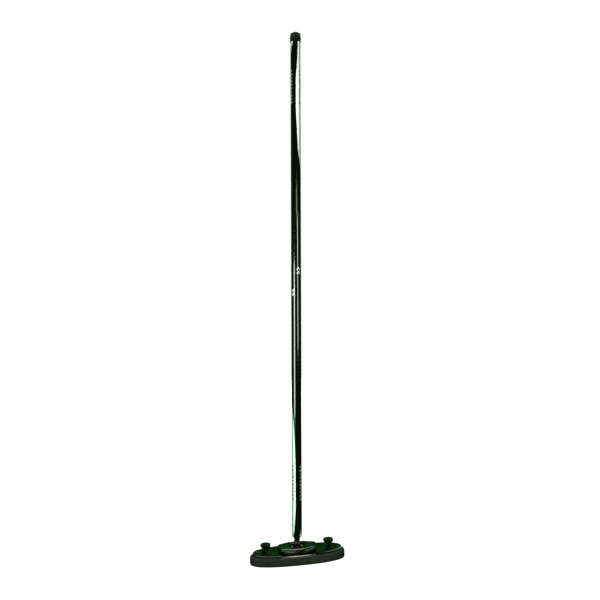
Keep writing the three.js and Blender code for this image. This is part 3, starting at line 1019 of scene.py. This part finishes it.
def carrier():
    """The tray: an undercut wall with a chamfer above it, and a floor that slopes up to the lip."""
    bottom, lip, floor = CARRIER_LOW.z, CARRIER_HIGH.z, CARRIER_FLOOR
    low = floor + 0.5
    wing = [
        (2.2, bottom),
        (0.15, bottom + 3.4),
        (0, bottom + 3.6),
        (0.06, lip - 1.1),
        (1.4, lip - 0.15),
        (1.9, lip),
        (2.6, lip),
        (CARRIER_LIP, lip - 0.1),
    ]
    between = [
        (1.9, bottom),
        (0.5, bottom + 0.8),
        (0.1, bottom + 0.9),
        (0.15, low - 2.0),
        (1.15, low - 0.1),
        (1.5, low),
        (2.4, low),
        (CARRIER_LIP, floor + 0.1),
    ]
    for step in range(1, 9):
        depth = CARRIER_LIP + CARRIER_DISH * step / 8
        wing.append((depth, floor + (lip - 0.1 - floor) * (1 - step / 8)))
        between.append((depth, floor))
    last = CARRIER_HIGH.y - 2
    wing.append((last, floor))
    between.append((last, floor))
    rings = [at_height(oval(CARRIER_HIGH.x - last, CARRIER_HIGH.y - last), bottom)]
    plain = oval(CARRIER_HIGH.x, CARRIER_HIGH.y)
    for (wing_in, wing_up), (low_in, low_up) in zip(wing, between):
        shares = [wing_share(point.x) for point in plain]
        outer = oval(CARRIER_HIGH.x - wing_in, CARRIER_HIGH.y - wing_in)
        inner = oval(CARRIER_HIGH.x - low_in, CARRIER_HIGH.y - low_in)
        ring = []
        for share, at_wing, at_low in zip(shares, outer, inner):
            ring.append((*at_low.lerp(at_wing, share), low_up + (wing_up - low_up) * share))
        rings.append(ring)
    holes = at_places(rod(CARRIER_HOLES["knob"], *THROUGH_CARRIER), KNOB_PLACES)
    holes.append(rod(CARRIER_HOLES["middle"], *THROUGH_CARRIER, ROUND))
    shank, head = CARRIER_HOLES["screw"], CARRIER_HOLES["screw_head"]
    sink = [(0, 19), (head, 19), (head, bottom), (shank, bottom + 1.6), (shank, 24), (0, 24)]
    holes += at_places(turned(sink, SMALL_ROUND), turret_screw_places())
    piece("carrier_plate", "head_plastic", loft(rings), holes)


def turret_outline():
    """Flat front and back, an angled facet at each corner, and rounded ends."""
    inner_x, outer_x = TURRET_FACET["inner_x"], TURRET_FACET["outer_x"]
    outer_y, end_y = TURRET_FACET["outer_y"], TURRET_FACET["end_y"]
    side = TURRET_HIGH.y
    end = TURRET_HIGH.x
    quarter = [(inner_x, side, 1.5), (outer_x, outer_y, 1.5), (end, end_y, 7)]
    right_back = quarter[::-1]
    left_back = [(-x, y, ease) for x, y, ease in quarter]
    left_front = [(-x, -y, ease) for x, y, ease in right_back]
    right_front = [(x, -y, ease) for x, y, ease in quarter]
    return evenly(eased(right_back + left_back + left_front + right_front, 6), 256)


def ring_like(outline, radius, height):
    """A circle with a point in the direction of each of the outline's."""
    return [(*(point.normalized() * radius), height) for point in outline]


def turret_panels():
    """Shallow panels let into the front and back, above and below one rib."""
    shells = []
    for low, high in TURRET_PANELS:
        outline = rectangle(2 * TURRET_FACET["inner_x"] - 2, high - low, 0.8, y=(low + high) / 2)
        for side in (-1, 1):
            start = side * TURRET_HIGH.y
            shell = slab(outline, -1.5, 1.5, 0.25)
            shells.append(shifted(along_y(shell), y=start))
    return shells


def turret():
    """The housing: an undercut foot, a bead along the rim, a sunk deck and the swivel's seat."""
    outline = turret_outline()
    bottom, rim = TURRET_LOW.z, TURRET_HIGH.z
    outside = [(2.2, bottom), (0.75, bottom + 2.2), (0.6, bottom + 2.5), (0.7, rim - 3.2)]
    outside += [(0.75, rim - 3.1), (0.1, rim - 2.7), (0, rim - 2.5), (0.05, rim - 2.2)]
    over = [(1.05, rim - 0.25), (1.25, rim - 0.05), (1.5, rim), (2.1, rim), (2.5, rim - 0.3)]
    over += [(2.8, TURRET_DECK + 0.5), (3.3, TURRET_DECK)]
    rings = [at_height(inset(outline, depth), height) for depth, height in outside + over]
    seat_rim, ring_fit, flange = TURRET_SEAT["rim"], RING_HIGH.x + RING_GAP, TURRET_SEAT["flange"]
    floor, hole = TURRET_SEAT["floor"], TURRET_SEAT["hole"]
    ring_bottom, ring_top = TURRET_RING_SEAT
    seat = [
        (seat_rim, TURRET_DECK),
        (seat_rim - 0.5, TURRET_DECK - 0.2),
        (seat_rim - 0.8, TURRET_DECK - 0.7),
        (ring_fit, ring_top),
        (ring_fit, ring_bottom),
        (flange, ring_bottom),
        (flange, floor),
        (hole, floor),
        (hole, bottom),
    ]
    rings += [ring_like(outline, radius, height) for radius, height in seat]
    ring_hole = rod(RING_SCREW["hole"], RING_SCREW["bottom"] - 0.1, RING_SCREW_HOLE_TOP)
    turret_hole = rod(TURRET_SCREW["hole"], 20, TURRET_SCREW["top"] + 0.5)
    holes = at_places(ring_hole, ring_screw_places()) + at_places(turret_hole, turret_screw_places())
    piece("pivot_turret", "head_plastic", loft(rings, closed=True), holes + turret_panels())


def polar(radius, degrees):
    angle = math.radians(degrees)
    return radius * math.cos(angle), radius * math.sin(angle)


def thread(radius, low, high, pitch=0.5, depth=0.22):
    """The zigzag of a thread's ridges, upwards."""
    outline = []
    height = low
    while height + pitch < high:
        outline += [(radius - depth, height), (radius, height + pitch / 2)]
        height += pitch
    return outline + [(radius - depth, high)]


def cross_recess(top, reach=1.5, depth=1.0):
    """The cutter for a cross-head drive."""
    arms = []
    for width, length in ((0.55, reach), (reach, 0.55)):
        outline = rectangle(2 * width, 2 * length, 0.2)
        arms.append(slab(outline, top - depth, top + 1, 0.1))
    return arms


def screw(node, finish, outline, recess, place):
    """A screw, turned and cut for its drive, then moved to its (x, y)."""
    made = make(node, turned(outline, SMALL_ROUND))
    cut(made, *recess)
    made.data.transform(Matrix.Translation(Vector((*place, 0)) * MM))
    stand_for(node, made, finish)


def turret_screws():
    """Countersunk screws up through the carrier."""
    start = CARRIER_LOW.z + 0.1
    head, radius, top = TURRET_SCREW["head"], TURRET_SCREW["thread"], TURRET_SCREW["top"]
    outline = [(0, start), (head, start), (head, start + 0.3), (radius, start + 1.7)]
    outline += thread(radius, start + 2, top - 0.6) + [(0, top)]
    recess = cross_recess(start + 0.9, depth=2.4)
    for i, place in enumerate(turret_screw_places()):
        screw(f"turret_screw_{i + 1}", "steel", outline, recess, place)


def retaining_ring():
    """The ring that holds the flange down: eased edges, a turned groove, three screw seats."""
    outer, bottom, top = RING_HIGH.x, RING_LOW.z, RING_HIGH.z
    corners = [
        (9, bottom, 0.2),
        (outer, bottom, 0.2),
        (outer, top, 0.6),
        (outer - 1.4, top, 0.1),
        (outer - 1.6, top - 0.25, 0.1),
        (outer - 1.8, top, 0.1),
        (9, top, 0.5),
    ]
    holes = at_places(rod(RING_SCREW["hole"], bottom - 1, top + 1), ring_screw_places())
    piece("retaining_ring", "head_plastic", turned(eased(corners), 96), holes)


def ring_screws():
    """Pan-head screws, their crowns domed and crossed."""
    seat = RING_HIGH.z + 0.1
    crown = seat + RING_SCREW["rise"]
    radius, edge, start = RING_SCREW["thread"], RING_SCREW["head"], RING_SCREW["bottom"]
    head = eased([(edge, seat, 0.15), (edge, crown - 0.5, 0.9), (1.2, crown, 0.2)])
    shank = [(0, start)] + thread(radius, start + 0.3, seat - 0.1) + [(radius, seat)]
    outline = shank + head + [(0, crown)]
    for side, place in zip(RING_SCREW_ANGLES, ring_screw_places()):
        # The front and right screws are brass as a painted warm reflection; the left one is steel,
        # though all three are the same screw.
        finish = "steel" if side == "left" else "brass"
        screw(f"ring_screw_{side}", finish, outline, cross_recess(crown), place)


# ------------------------------------------------------------------ swivel and tilt joint


def flat_washer(inner, outer, low, high):
    corners = [(inner, low, 0.1), (outer, low, 0.1), (outer, high, 0.1), (inner, high, 0.1)]
    return turned(eased(corners, 2))


def thrust_washer():
    low, high = box_of("thrust_washer")
    washer = flat_washer(THRUST_WASHER_BORE, high.x, low.z, high.z)
    piece("thrust_washer", "bearing_nylon", washer)


def yoke():
    """A flange and round post, with two ears slotted for the handle's tongue."""
    bottom = YOKE_LOW.z
    radius = POST["radius"]
    corners = [
        (0, bottom, 0),
        (FLANGE_RADIUS, bottom, 0.3),
        (FLANGE_RADIUS, bottom + 2.3, 0.5),
        (radius, bottom + 2.3, 0.5),
        (radius, 32.6, 0.1),
        (radius - 0.35, 32.9, 0.1),
        (radius, 33.2, 0.1),
        (radius, POST["shoulder"], 0.8),
        (0, POST["shoulder"], 0),
    ]
    made = make("yoke", turned(eased(corners)))
    blank = along_y(rod(EAR_RADIUS, -radius, radius, ROUND), PIVOT.z)
    ears = make("ears", blank)
    combine(ears, "INTERSECT", rod(radius - 0.15, 30, 50, ROUND))
    join(made, taken(ears))
    width = 2 * POST["slot_half"]
    slot = slab(rectangle(3 * radius, width, 0), POST["slot_bottom"], 60, 0.6)
    cut(made, slot, along_y(rod(PIN_BORE, -20, 20), PIVOT.z))
    stand_for("swivel_yoke", made, "head_plastic")


def taken(made):
    """An object turned back into a shell."""
    points = [vertex.co / MM for vertex in made.data.vertices]
    faces = [tuple(face.vertices) for face in made.data.polygons]
    bpy.data.objects.remove(made)
    return points, faces


def friction_washers():
    for name in ("front", "back"):
        node = f"friction_washer_{name}"
        low, high = box_of(node)
        middle = (low.y + high.y) / 2
        half = (high.y - low.y) / 2
        shell = along_y(flat_washer(PIN_BORE, FRICTION_WASHER_RADIUS, -half, half), PIVOT.z)
        piece(node, "bearing_nylon", shifted(shell, y=middle))


def tilt_pin():
    """A pin with a domed, slotted head in front and a groove for its clip behind."""
    front = -PIN_LOW.y
    back = -PIN_HIGH.y
    corners = [
        (0, back, 0),
        (PIN_RADIUS, back, 0.4),
        (PIN_RADIUS, back + 1.2, 0),
        (PIN_RADIUS - 0.3, back + 1.2, 0),
        (PIN_RADIUS - 0.3, back + 1.9, 0),
        (PIN_RADIUS, back + 1.9, 0),
        (PIN_RADIUS, front - 1.3, 0),
        (PIN_HEAD_RADIUS, front - 1.3, 0.2),
        (PIN_HEAD_RADIUS, front - 0.2, 0.6),
        (0, front, 0),
    ]
    pin = along_y(turned(eased(corners), 48), PIVOT.z)
    slot = along_y(slab(rectangle(8, 0.9, 0), front - 0.6, front + 1, 0.1), PIVOT.z)
    piece("tilt_pin", "joint_metal", pin, [slot])


def pin_clip():
    """A spring clip: a ring open on one side, with rounded ends."""
    low, high = box_of("tilt_pin_clip")
    outer = arc((0, 0), 3.6, -150, 150, 40)
    inner = arc((0, 0), PIN_RADIUS + 0.1, 140, -140, 32)
    outline = [Vector(point) for point in outer + inner]
    piece("tilt_pin_clip", "steel", along_y(slab(outline, -high.y, -low.y, 0.12), PIVOT.z))


# ------------------------------------------------------------------ handle


def tang():
    """Tongue, neck and stem in one turned and milled piece."""
    radius = TONGUE["radius"]
    top = NECK["bottom"] + 1
    lower_half = arc((0, 0), radius, 180, 360, 24)
    outline = [Vector(point) for point in lower_half + [(radius, top), (-radius, top)]]
    blank = slab(outline, -TONGUE["half_thickness"], TONGUE["half_thickness"], 0.35)
    corners = [
        (0, NECK["bottom"], 0),
        (NECK["radius"], NECK["bottom"], 0.7),
        (NECK["radius"], NECK["top"] - 1.9, 0.1),
        (NECK["radius"] - 0.4, NECK["top"] - 1.6, 0.1),
        (NECK["radius"], NECK["top"] - 1.3, 0.1),
        (NECK["radius"], NECK["top"], 0.4),
        (NECK["stem_radius"], NECK["top"], 0),
        (NECK["stem_radius"], NECK["stem_top"], 0.8),
        (0, NECK["stem_top"], 0),
    ]
    made = make("tang", along_y(blank))
    join(made, turned(eased(corners)))
    cut(made, along_y(rod(PIN_BORE, -20, 20)))
    stand_for("pivot_tang", made, "joint_metal")


def turned_sideways(shell, height):
    """A shell built about Z, laid down so that its +Z points along -X, at that height."""
    turn = Matrix.Rotation(-math.pi / 2, 4, "Y")
    return moved(shell, Matrix.Translation((0, 0, height)) @ turn)


def rivet_holes():
    """Rods out through the shaft's wall towards -X."""
    hole = rod(RIVET["hole"], *RIVET_HOLE)
    return [turned_sideways(hole, height) for height in RIVET_HEIGHTS.values()]


def ferrule():
    """The cone under the tube, and its spigot inside, with glue grooves."""
    bottom, shoulder, lip = FERRULE["bottom"], FERRULE["shoulder"], FERRULE["lip"]
    spigot, top = FERRULE["spigot"], FERRULE["top"]
    radius = SHAFT["radius"]
    corners = [
        (5.1, bottom, 0.2),
        (NECK["radius"] + 0.6, bottom, 0.5),
        (radius, shoulder - 0.6, 0.8),
        (radius, lip, 0.1),
        (spigot, lip, 0),
    ]
    for groove in GLUE_GROOVES:
        corners += [(spigot, groove, 0), (spigot - 0.4, groove + 0.5, 0), (spigot, groove + 1, 0)]
    corners += [(spigot, top - 2, 0.5), (spigot - 2, top, 0.3), (5.1, top, 0.2)]
    piece("ferrule", "knob_plastic", turned(eased(corners, 3)), rivet_holes())


def shaft_tube():
    """The tube, stepped along its length so that no face on it is a long sliver."""
    bore, radius = SHAFT["bore"], SHAFT["radius"]
    bottom, top = SHAFT["bottom"], SHAFT["top"]
    steps = [(radius, height, 0) for height in np.linspace(bottom, top, SHAFT_RINGS + 2)[1:-1]]
    corners = [(bore, bottom, 0.3), (radius, bottom, 0.25), *steps, (radius, top, 0.25)]
    tube = turned(eased([*corners, (bore, top, 0.3)], 3), 96)
    piece("shaft_tube", "shaft_lacquer", tube, rivet_holes())


def rivets():
    """Short rivets through the tube into the ferrule, their domed heads outside."""
    radius, head = RIVET["radius"], RIVET["head"]
    foot, seat, crown = RIVET["foot"], RIVET["seat"], RIVET["crown"]
    corners = [
        (0, foot, 0),
        (radius, foot, 0.3),
        (radius, seat, 0),
        (head, seat, 0.1),
        (head - 0.1, crown - 0.5, 0.15),
        (radius, crown - 0.1, 0.4),
        (0, crown, 0),
    ]
    for name, height in RIVET_HEIGHTS.items():
        rivet = turned_sideways(turned(eased(corners), SMALL_ROUND), height)
        piece(f"ferrule_rivet_{name}", "joint_metal", rivet)


def top_plug():
    radius = SHAFT["bore"] - 0.3
    corners = [
        (0, PLUG_BOTTOM, 0),
        (radius - 2, PLUG_BOTTOM, 0.5),
        (radius, PLUG_BOTTOM + 3, 1),
        (radius, PLUG_BOTTOM + 12, 0),
        (radius - 0.5, PLUG_BOTTOM + 12.5, 0),
        (radius, PLUG_BOTTOM + 13, 0),
        (radius, SHAFT["top"], 0.4),
        (0, SHAFT["top"], 0),
    ]
    piece("top_plug", "plate_plastic", turned(eased(corners)))


def end_cap():
    """The rubber cap: a sleeve that swells to a grip ring and closes in a low dome."""
    radius, bore, bottom, top = CAP["radius"], CAP["bore"], CAP["bottom"], CAP["top"]
    roof = SHAFT["top"] + 0.3
    corners = [
        (bore, bottom, 0.2),
        (radius - 0.4, bottom, 0.5),
        (radius - 0.35, bottom + 3.2, 0.3),
        (radius - 0.7, bottom + 3.7, 0.2),
        (radius - 0.3, bottom + 4.2, 0.3),
        (radius, bottom + 9, 3),
        (radius - 1.2, bottom + 15.5, 3),
        (radius - 5.5, top - 0.7, 3.5),
        (2.4, top, 0.5),
        (2.0, top - 0.5, 0.2),
        (0, top - 0.5, 0),
        (0, roof, 0),
        (bore, roof, 0.3),
    ]
    piece("end_cap", "cap_rubber", turned(eased(corners, 6), 96), crease=50)


# ------------------------------------------------------------------ printed marks


def film(start_of, end_of, heights, columns=24, lift=0.02, thickness=0.05):
    """A thin printed layer on the shaft between two angles that change with height."""
    low = SHAFT["radius"] + lift
    rings = []
    for height in heights:
        start, end = start_of(height), end_of(height)
        angles = [facing_angle(start + (end - start) * k / columns) for k in range(columns + 1)]
        outer = [(low + thickness, angle) for angle in angles]
        inner = [(low, angle) for angle in reversed(angles)]
        rings.append([(r * math.cos(a), r * math.sin(a), height) for r, a in outer + inner])
    return loft(rings)


def smooth(points):
    """A function through (place, value) points, eased between them."""
    places = [place for place, _ in points]

    def value_at(place):
        place = min(max(place, places[0]), places[-1])
        after = next(i for i, known in enumerate(places) if known >= place)
        before = max(after - 1, 0)
        gap = places[after] - places[before]
        share = (place - places[before]) / gap if gap else 0
        slopes = [slope_at(points, before), slope_at(points, after)]
        return hermite(points[before][1], points[after][1], slopes[0] * gap, slopes[1] * gap, share)

    return value_at


def slope_at(points, i):
    before = points[max(i - 1, 0)]
    after = points[min(i + 1, len(points) - 1)]
    here = points[i]
    if (after[1] - here[1]) * (here[1] - before[1]) <= 0:
        return 0
    return (after[1] - before[1]) / (after[0] - before[0])


def hermite(start, end, start_slope, end_slope, share):
    square, cube = share * share, share**3
    return (
        (2 * cube - 3 * square + 1) * start
        + (cube - 2 * square + share) * start_slope
        + (3 * square - 2 * cube) * end
        + (cube - square) * end_slope
    )


def band(name, points, end, direction):
    """A white band that starts at one end of the tube and runs out to a point."""
    near = smooth([(distance, near_edge) for distance, near_edge, _ in points])
    far = smooth([(distance, far_edge) for distance, _, far_edge in points])
    distances = np.linspace(0, points[-1][0], 120)
    heights = [end + direction * distance for distance in distances]

    def edge(which):
        return lambda height: which(abs(height - end))

    first, second = edge(near), edge(far)
    if near(0) > far(0):
        first, second = second, first
    if direction < 0:
        heights = heights[::-1]
    made = make(name, film(first, second, heights, columns=64))
    show(made, "handle", "white_print", crease=60)


def bands():
    band("shaft_band_upper", UPPER_BAND, CAP["bottom"] - 0.3, -1)
    band("shaft_band_lower", LOWER_BAND, SHAFT["bottom"] + 0.5, 1)


def row_of_bars(middle, low, high, width, lift):
    """Plain slanted bars up the shaft, long and short in turn."""
    shells = []
    height = low
    stroke = math.degrees(width / 2 / SHAFT["radius"])
    for length in cycle(BAR_LENGTHS):
        if height + length > high:
            return shells

        def left(at, start=height, length=length):
            return middle - stroke + stroke * (at - start) / length

        def right(at, left=left):
            return left(at) + stroke

        shells.append(film(left, right, np.linspace(height, height + length, 5), 4, lift))
        height += length + BAR_GAP


def bars(rows, width, lift):
    return [shell for row in rows for shell in row_of_bars(*row, width, lift)]


def chevrons(middle, start, rise, count=2):
    """Stacked chevrons that point along the shaft."""
    shells = []
    arm, stroke = CHEVRON["arm"], CHEVRON["stroke"]
    half = math.degrees(CHEVRON["width"] / SHAFT["radius"])
    for k in range(count):
        foot = start + rise * k * CHEVRON["pitch"]
        levels = [foot + rise * row for row in np.linspace(0, arm, 9)]
        for side in (-1, 1):

            def inner(height, foot=foot, side=side):
                share = abs(height - foot) / arm
                return middle + side * half * (1 - share) - stroke / 2

            def outer(height, inner=inner):
                return inner(height) + stroke

            heights = levels if rise > 0 else levels[::-1]
            shells.append(film(inner, outer, heights, 4))
    return shells


def marks():
    """Plain bars and chevrons: pale ones on the tube, dark ones over the white bands."""
    pale = bars(**PALE_BARS)
    for place in CHEVRON_PLACES:
        pale += chevrons(*place)
    show(make("shaft_marks_light", *pale), "handle", "white_print")
    dark = make("shaft_marks_dark", *bars(**DARK_BARS))
    show(dark, "handle", "dark_print")


# ------------------------------------------------------------------ lock knobs


def collar(side, x):
    base, base_top = COLLAR["base"], COLLAR["base_top"]
    radius, top, bore = COLLAR["radius"], COLLAR["top"], COLLAR["bore"]
    low, _ = box_of(f"{side}_knob_collar")
    corners = [
        (bore, low.z, 0.1),
        (base, low.z, 0.1),
        (base, base_top - 0.3, 0.3),
        (radius + 0.9, base_top + 1.7, 0.8),
        (radius, base_top + 3.2, 0.6),
        (radius, top - 1.6, 0.1),
        (radius - 0.25, top - 1.4, 0.1),
        (radius, top - 1.2, 0.1),
        (radius, top, 0.4),
        (bore, top, 0.2),
    ]
    piece(f"{side}_knob_collar", "knob_plastic", shifted(turned(eased(corners), 48), x=x))


def spring(side, x):
    """A compression spring with a closed coil at each end."""
    turns = SPRING["turns"]
    closed = 2 * SPRING["wire"]
    low, high = SPRING["bottom"], SPRING["top"]
    climb = smooth([(0, low), (1, low + closed), (turns - 1, high - closed), (turns, high)])
    steps = round(turns * 24)
    path = []
    for k in range(steps + 1):
        turn = turns * k / steps
        angle = 2 * math.pi * turn
        place = (x + SPRING["radius"] * math.cos(angle), SPRING["radius"] * math.sin(angle))
        path.append((*place, climb(turn)))
    node = f"{side}_knob_spring"
    made = piece(node, "joint_metal", tube_along(path, SPRING["wire"], 10), crease=60)
    low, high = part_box(node)
    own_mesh(made)


def spring_washer(side, x):
    node = f"{side}_spring_washer"
    low, high = box_of(node)
    bore, radius = SPRING_WASHER["bore"], SPRING_WASHER["radius"]
    piece(node, "joint_metal", shifted(flat_washer(bore, radius, low.z, high.z), x=x))


def knob_cap(side, x):
    """A thick round knob: a short cone, a fluted rim, and a domed top with a ring groove."""
    base, radius, bottom = KNOB["base"], KNOB["radius"], KNOB["bottom"]
    flare, rim, top = KNOB["flare"], KNOB["rim"], KNOB["top"]
    bore = SPINDLE["bore"]
    corners = [
        (bore, bottom, 0.15),
        (base, bottom, 0.6),
        (radius, flare, 0.5),
        (radius, rim, 0.5),
        (radius - 1.6, rim + 0.75, 0.6),
        (5.2, top - 0.25, 1.5),
        (4.4, top - 0.2, 0.2),
        (4.1, top - 0.4, 0.1),
        (3.8, top - 0.2, 0.2),
        (0, top, 0),
        (0, KNOB_ROOF, 0),
        (bore, KNOB_ROOF, 0.1),
    ]

    def fluted(reach, height, angle):
        if reach <= radius - 0.5 or height <= flare:
            return reach
        wave = (1 + math.cos(KNOB_FLUTES["count"] * angle)) / 2
        return reach - KNOB_FLUTES["depth"] * wave

    knob = shifted(turned(eased(corners), 288, fluted), x=x)
    piece(f"{side}_knob_cap", "knob_plastic", knob)


def spindle(side, x):
    node = f"{side}_knob_spindle"
    low, high = box_of(node)
    radius, foot = SPINDLE["radius"], SPINDLE["foot_radius"]
    corners = [
        (0, low.z, 0),
        (foot, low.z, 0.2),
        (foot, low.z + 1, 0.2),
        (radius, low.z + 1, 0),
        (radius, high.z - 4, 0),
        (radius - 0.2, high.z - 3.8, 0),
        (radius - 0.2, high.z, 0.3),
        (0, high.z, 0),
    ]
    piece(node, "steel", shifted(turned(eased(corners), SMALL_ROUND), x=x))


def locking_bar(side, x):
    node = f"{side}_locking_bar"
    low, high = box_of(node)
    outline = rectangle(high.x - low.x, high.y - low.y, 2.0, x=x)
    hole = shifted(rod(SPINDLE["bore"], low.z - 1, high.z + 1), x=x)
    piece(node, "steel", slab(outline, low.z, high.z, 0.5), [hole])


def lock_knobs():
    for side, (x, _) in zip(("left", "right"), KNOB_PLACES):
        for build in (collar, spring, spring_washer, knob_cap, spindle, locking_bar):
            build(side, x)


# ------------------------------------------------------------------ studio


def camera():
    yaw = math.radians(CAMERA["yaw"])
    roll = math.radians(CAMERA["roll"])
    forward = Vector((math.sin(yaw), math.cos(yaw), 0))
    up = Matrix.Rotation(roll, 3, forward) @ Vector((0, 0, 1))
    right = forward.cross(up)
    place = PIVOT * MM - forward * CAMERA["distance"] + up * CAMERA["rise"]
    data = bpy.data.cameras.new("camera")
    data.lens = CAMERA["lens"]
    data.sensor_width = 36
    data.shift_x, data.shift_y = CAMERA_SHIFT
    made = bpy.data.objects.new("camera", data)
    made.matrix_world = Matrix.Translation(place) @ Matrix((right, up, -forward)).transposed().to_4x4()
    bpy.context.scene.collection.objects.link(made)
    bpy.context.scene.camera = made


def softbox(name, place, aim, width, height, radiance, colour=(1, 1, 1)):
    """A soft area light, not seen directly by the camera."""
    data = bpy.data.lights.new(name, "AREA")
    data.shape = "RECTANGLE"
    data.size = width
    data.size_y = height
    data.color = colour
    data.energy = radiance * math.pi * width * height
    made = bpy.data.objects.new(name, data)
    made.location = place
    made.rotation_euler = (Vector(aim) - Vector(place)).to_track_quat("-Z", "Y").to_euler()
    made.visible_camera = False
    bpy.context.scene.collection.objects.link(made)
    return made


def only_on(light, *names):
    """Screens a light off from all but the pieces with those finishes."""
    lit = bpy.data.collections.new(f"{light.name}_lit")
    finishes = [FINISHES[name] for name in names]
    for made in bpy.context.scene.objects:
        if made.type == "MESH" and any(finish in finishes for finish in made.data.materials):
            lit.objects.link(made)
    light.light_linking.receiver_collection = lit


def round_camera(degrees, distance, height):
    """A place at that distance, so many degrees right of the camera seen from the handle."""
    angle = facing_angle(degrees)
    return (distance * math.cos(angle), distance * math.sin(angle), height)


PLASTICS = ("head_plastic", "knob_plastic")
GLOSS = ("shaft_lacquer", "dark_print", "white_print")
CLOTHS = ("cover_fabric", "seam_thread", "pad_foam")
SMALL_PARTS = ("steel", "brass", "joint_metal", "bearing_nylon", "plate_plastic")
GREEN = (0, 1, 0.02)
WARM = (1, 0.94, 0.7)


def fills():
    """Broad soft lights that show in no reflection."""
    for name, place, radiance in (
        ("front_fill", round_camera(0, 2.6, 1.3), 8.5),
        ("back_fill", round_camera(190, 2.6, 1.6), 7.5),
        ("under_fill", (0, 0, -1.6), 1.0),
    ):
        softbox(name, place, (0, 0, 0.4), 1.6, 1.6, radiance).visible_glossy = False


def backdrop():
    """A dim green cloth behind and above the broom, which its black pieces reflect."""
    blacks = (*PLASTICS, *GLOSS, *CLOTHS, "cap_rubber")
    only_on(softbox("backdrop", (0, 2.2, 1.5), (0, 0, 1.5), 7.0, 3.0, 0.2, GREEN), *blacks)
    only_on(softbox("canopy", (0, 1.1, 3.0), (0, 1.1, 0), 6.0, 2.2, 0.35, GREEN), *blacks)


def highlights():
    """Small lights for the moulded edges, pale cards in front of the head, and a key behind."""
    height = 1.13
    for name, degrees, width, radiance, colour in (
        ("left_front", -25, 0.5, 18.0, (1, 1, 1)),
        ("middle_front", 14, 0.36, 20.0, WARM),
        ("right_front", 56, 0.8, 7.0, (1, 1, 1)),
    ):
        place = round_camera(degrees, 1.6, height)
        light = softbox(name, place, (0, 0, 0.03), width, 0.4, radiance, colour)
        only_on(light, "head_plastic", "brass")
    for name, x, y, radiance in (("left_card", -0.18, -0.18, 2.2), ("right_card", 0.28, -0.12, 3.0)):
        card = softbox(name, (x, y, 0.001), (x, y, 1), 0.36, 0.32, radiance)
        only_on(card, "head_plastic")
    only_on(softbox("back_key", round_camera(150, 2.0, 1.9), (0, 0, 0.3), 0.6, 0.5, 5.0), *PLASTICS)


def shaft_strips():
    """Upright strips that draw the long bright lines on the shaft."""
    for name, degrees, height, width, length, radiance, colour in (
        ("left_strip", -42, 0.46, 0.55, 0.72, 15.0, (1, 1, 1)),
        ("right_strip", 37, 0.65, 0.42, 0.62, 9.5, (1, 1, 1)),
        ("warm_strip", 16, 1.05, 0.4, 0.13, 5.5, (1, 0.9, 0.5)),
    ):
        place = round_camera(degrees, 1.5, height)
        strip = softbox(name, place, (0, 0, height), width, length, radiance, colour)
        only_on(strip, *GLOSS, "steel", "brass")


def lights():
    fills()
    backdrop()
    highlights()
    shaft_strips()
    overhead = softbox("overhead", (0, 0.1, 2.4), (0, 0, 0), 1.8, 1.4, 3.0)
    only_on(overhead, *CLOTHS, *SMALL_PARTS, *GLOSS, "cap_rubber")


def world():
    """White for the camera, and a dim even greenish fill for everything else."""
    made = bpy.data.worlds.new("studio")
    made.use_nodes = True
    nodes, links = made.node_tree.nodes, made.node_tree.links
    fill = nodes["Background"]
    fill.inputs["Color"].default_value = WORLD_FILL["colour"]
    fill.inputs["Strength"].default_value = WORLD_FILL["strength"]
    seen = nodes.new("ShaderNodeBackground")
    seen.inputs["Color"].default_value = (1, 1, 1, 1)
    path = nodes.new("ShaderNodeLightPath")
    mix = nodes.new("ShaderNodeMixShader")
    links.new(path.outputs["Is Camera Ray"], mix.inputs[0])
    links.new(fill.outputs[0], mix.inputs[1])
    links.new(seen.outputs[0], mix.inputs[2])
    links.new(mix.outputs[0], nodes["World Output"].inputs["Surface"])
    bpy.context.scene.world = made


def floor():
    """A pale, softly glowing table that is clear when seen from below."""
    edge = 12
    corners = [(-edge, -edge, 0), (edge, -edge, 0), (edge, edge, 0), (-edge, edge, 0)]
    mesh = bpy.data.meshes.new("floor")
    mesh.from_pydata(corners, [], [(0, 1, 2, 3)])
    made = bpy.data.objects.new("floor", mesh)
    bpy.context.scene.collection.objects.link(made)
    constants = {
        "Base Color": (0.9, 0.9, 0.9, 1),
        "Roughness": 1.0,
        "Specular IOR Level": 0,
        "Emission Color": (1, 1, 1, 1),
    }
    finish = Finish("floor", constants)
    away = finish.add("ShaderNodeVectorMath", {"operation": "LENGTH"}, i0=finish.place)
    glow = finish.spread(away.outputs["Value"], 0.84, 1.0, 0.35, 1.3)
    finish.links.new(glow, finish.surface.inputs["Emission Strength"])
    clear = finish.add("ShaderNodeBsdfTransparent")
    below = finish.add("ShaderNodeNewGeometry").outputs["Backfacing"]
    mix = finish.add("ShaderNodeMixShader", None, i0=below)
    finish.links.new(finish.surface.outputs[0], mix.inputs[1])
    finish.links.new(clear.outputs[0], mix.inputs[2])
    finish.links.new(mix.outputs[0], finish.nodes["Material Output"].inputs["Surface"])
    mesh.materials.append(finish.material)
    made.visible_glossy = False
    made.visible_diffuse = False
    made.visible_shadow = False


# ------------------------------------------------------------------ assembly

camera()
stitches(cover())
foam()
backing_plate()
carrier()
turret()
turret_screws()
retaining_ring()
ring_screws()
thrust_washer()
yoke()
friction_washers()
tilt_pin()
pin_clip()
tang()
ferrule()
shaft_tube()
rivets()
top_plug()
end_cap()
bands()
marks()
lock_knobs()
lights()
world()
floor()

bpy.context.scene.view_settings.view_transform = "Standard"
bpy.context.view_layer.update()
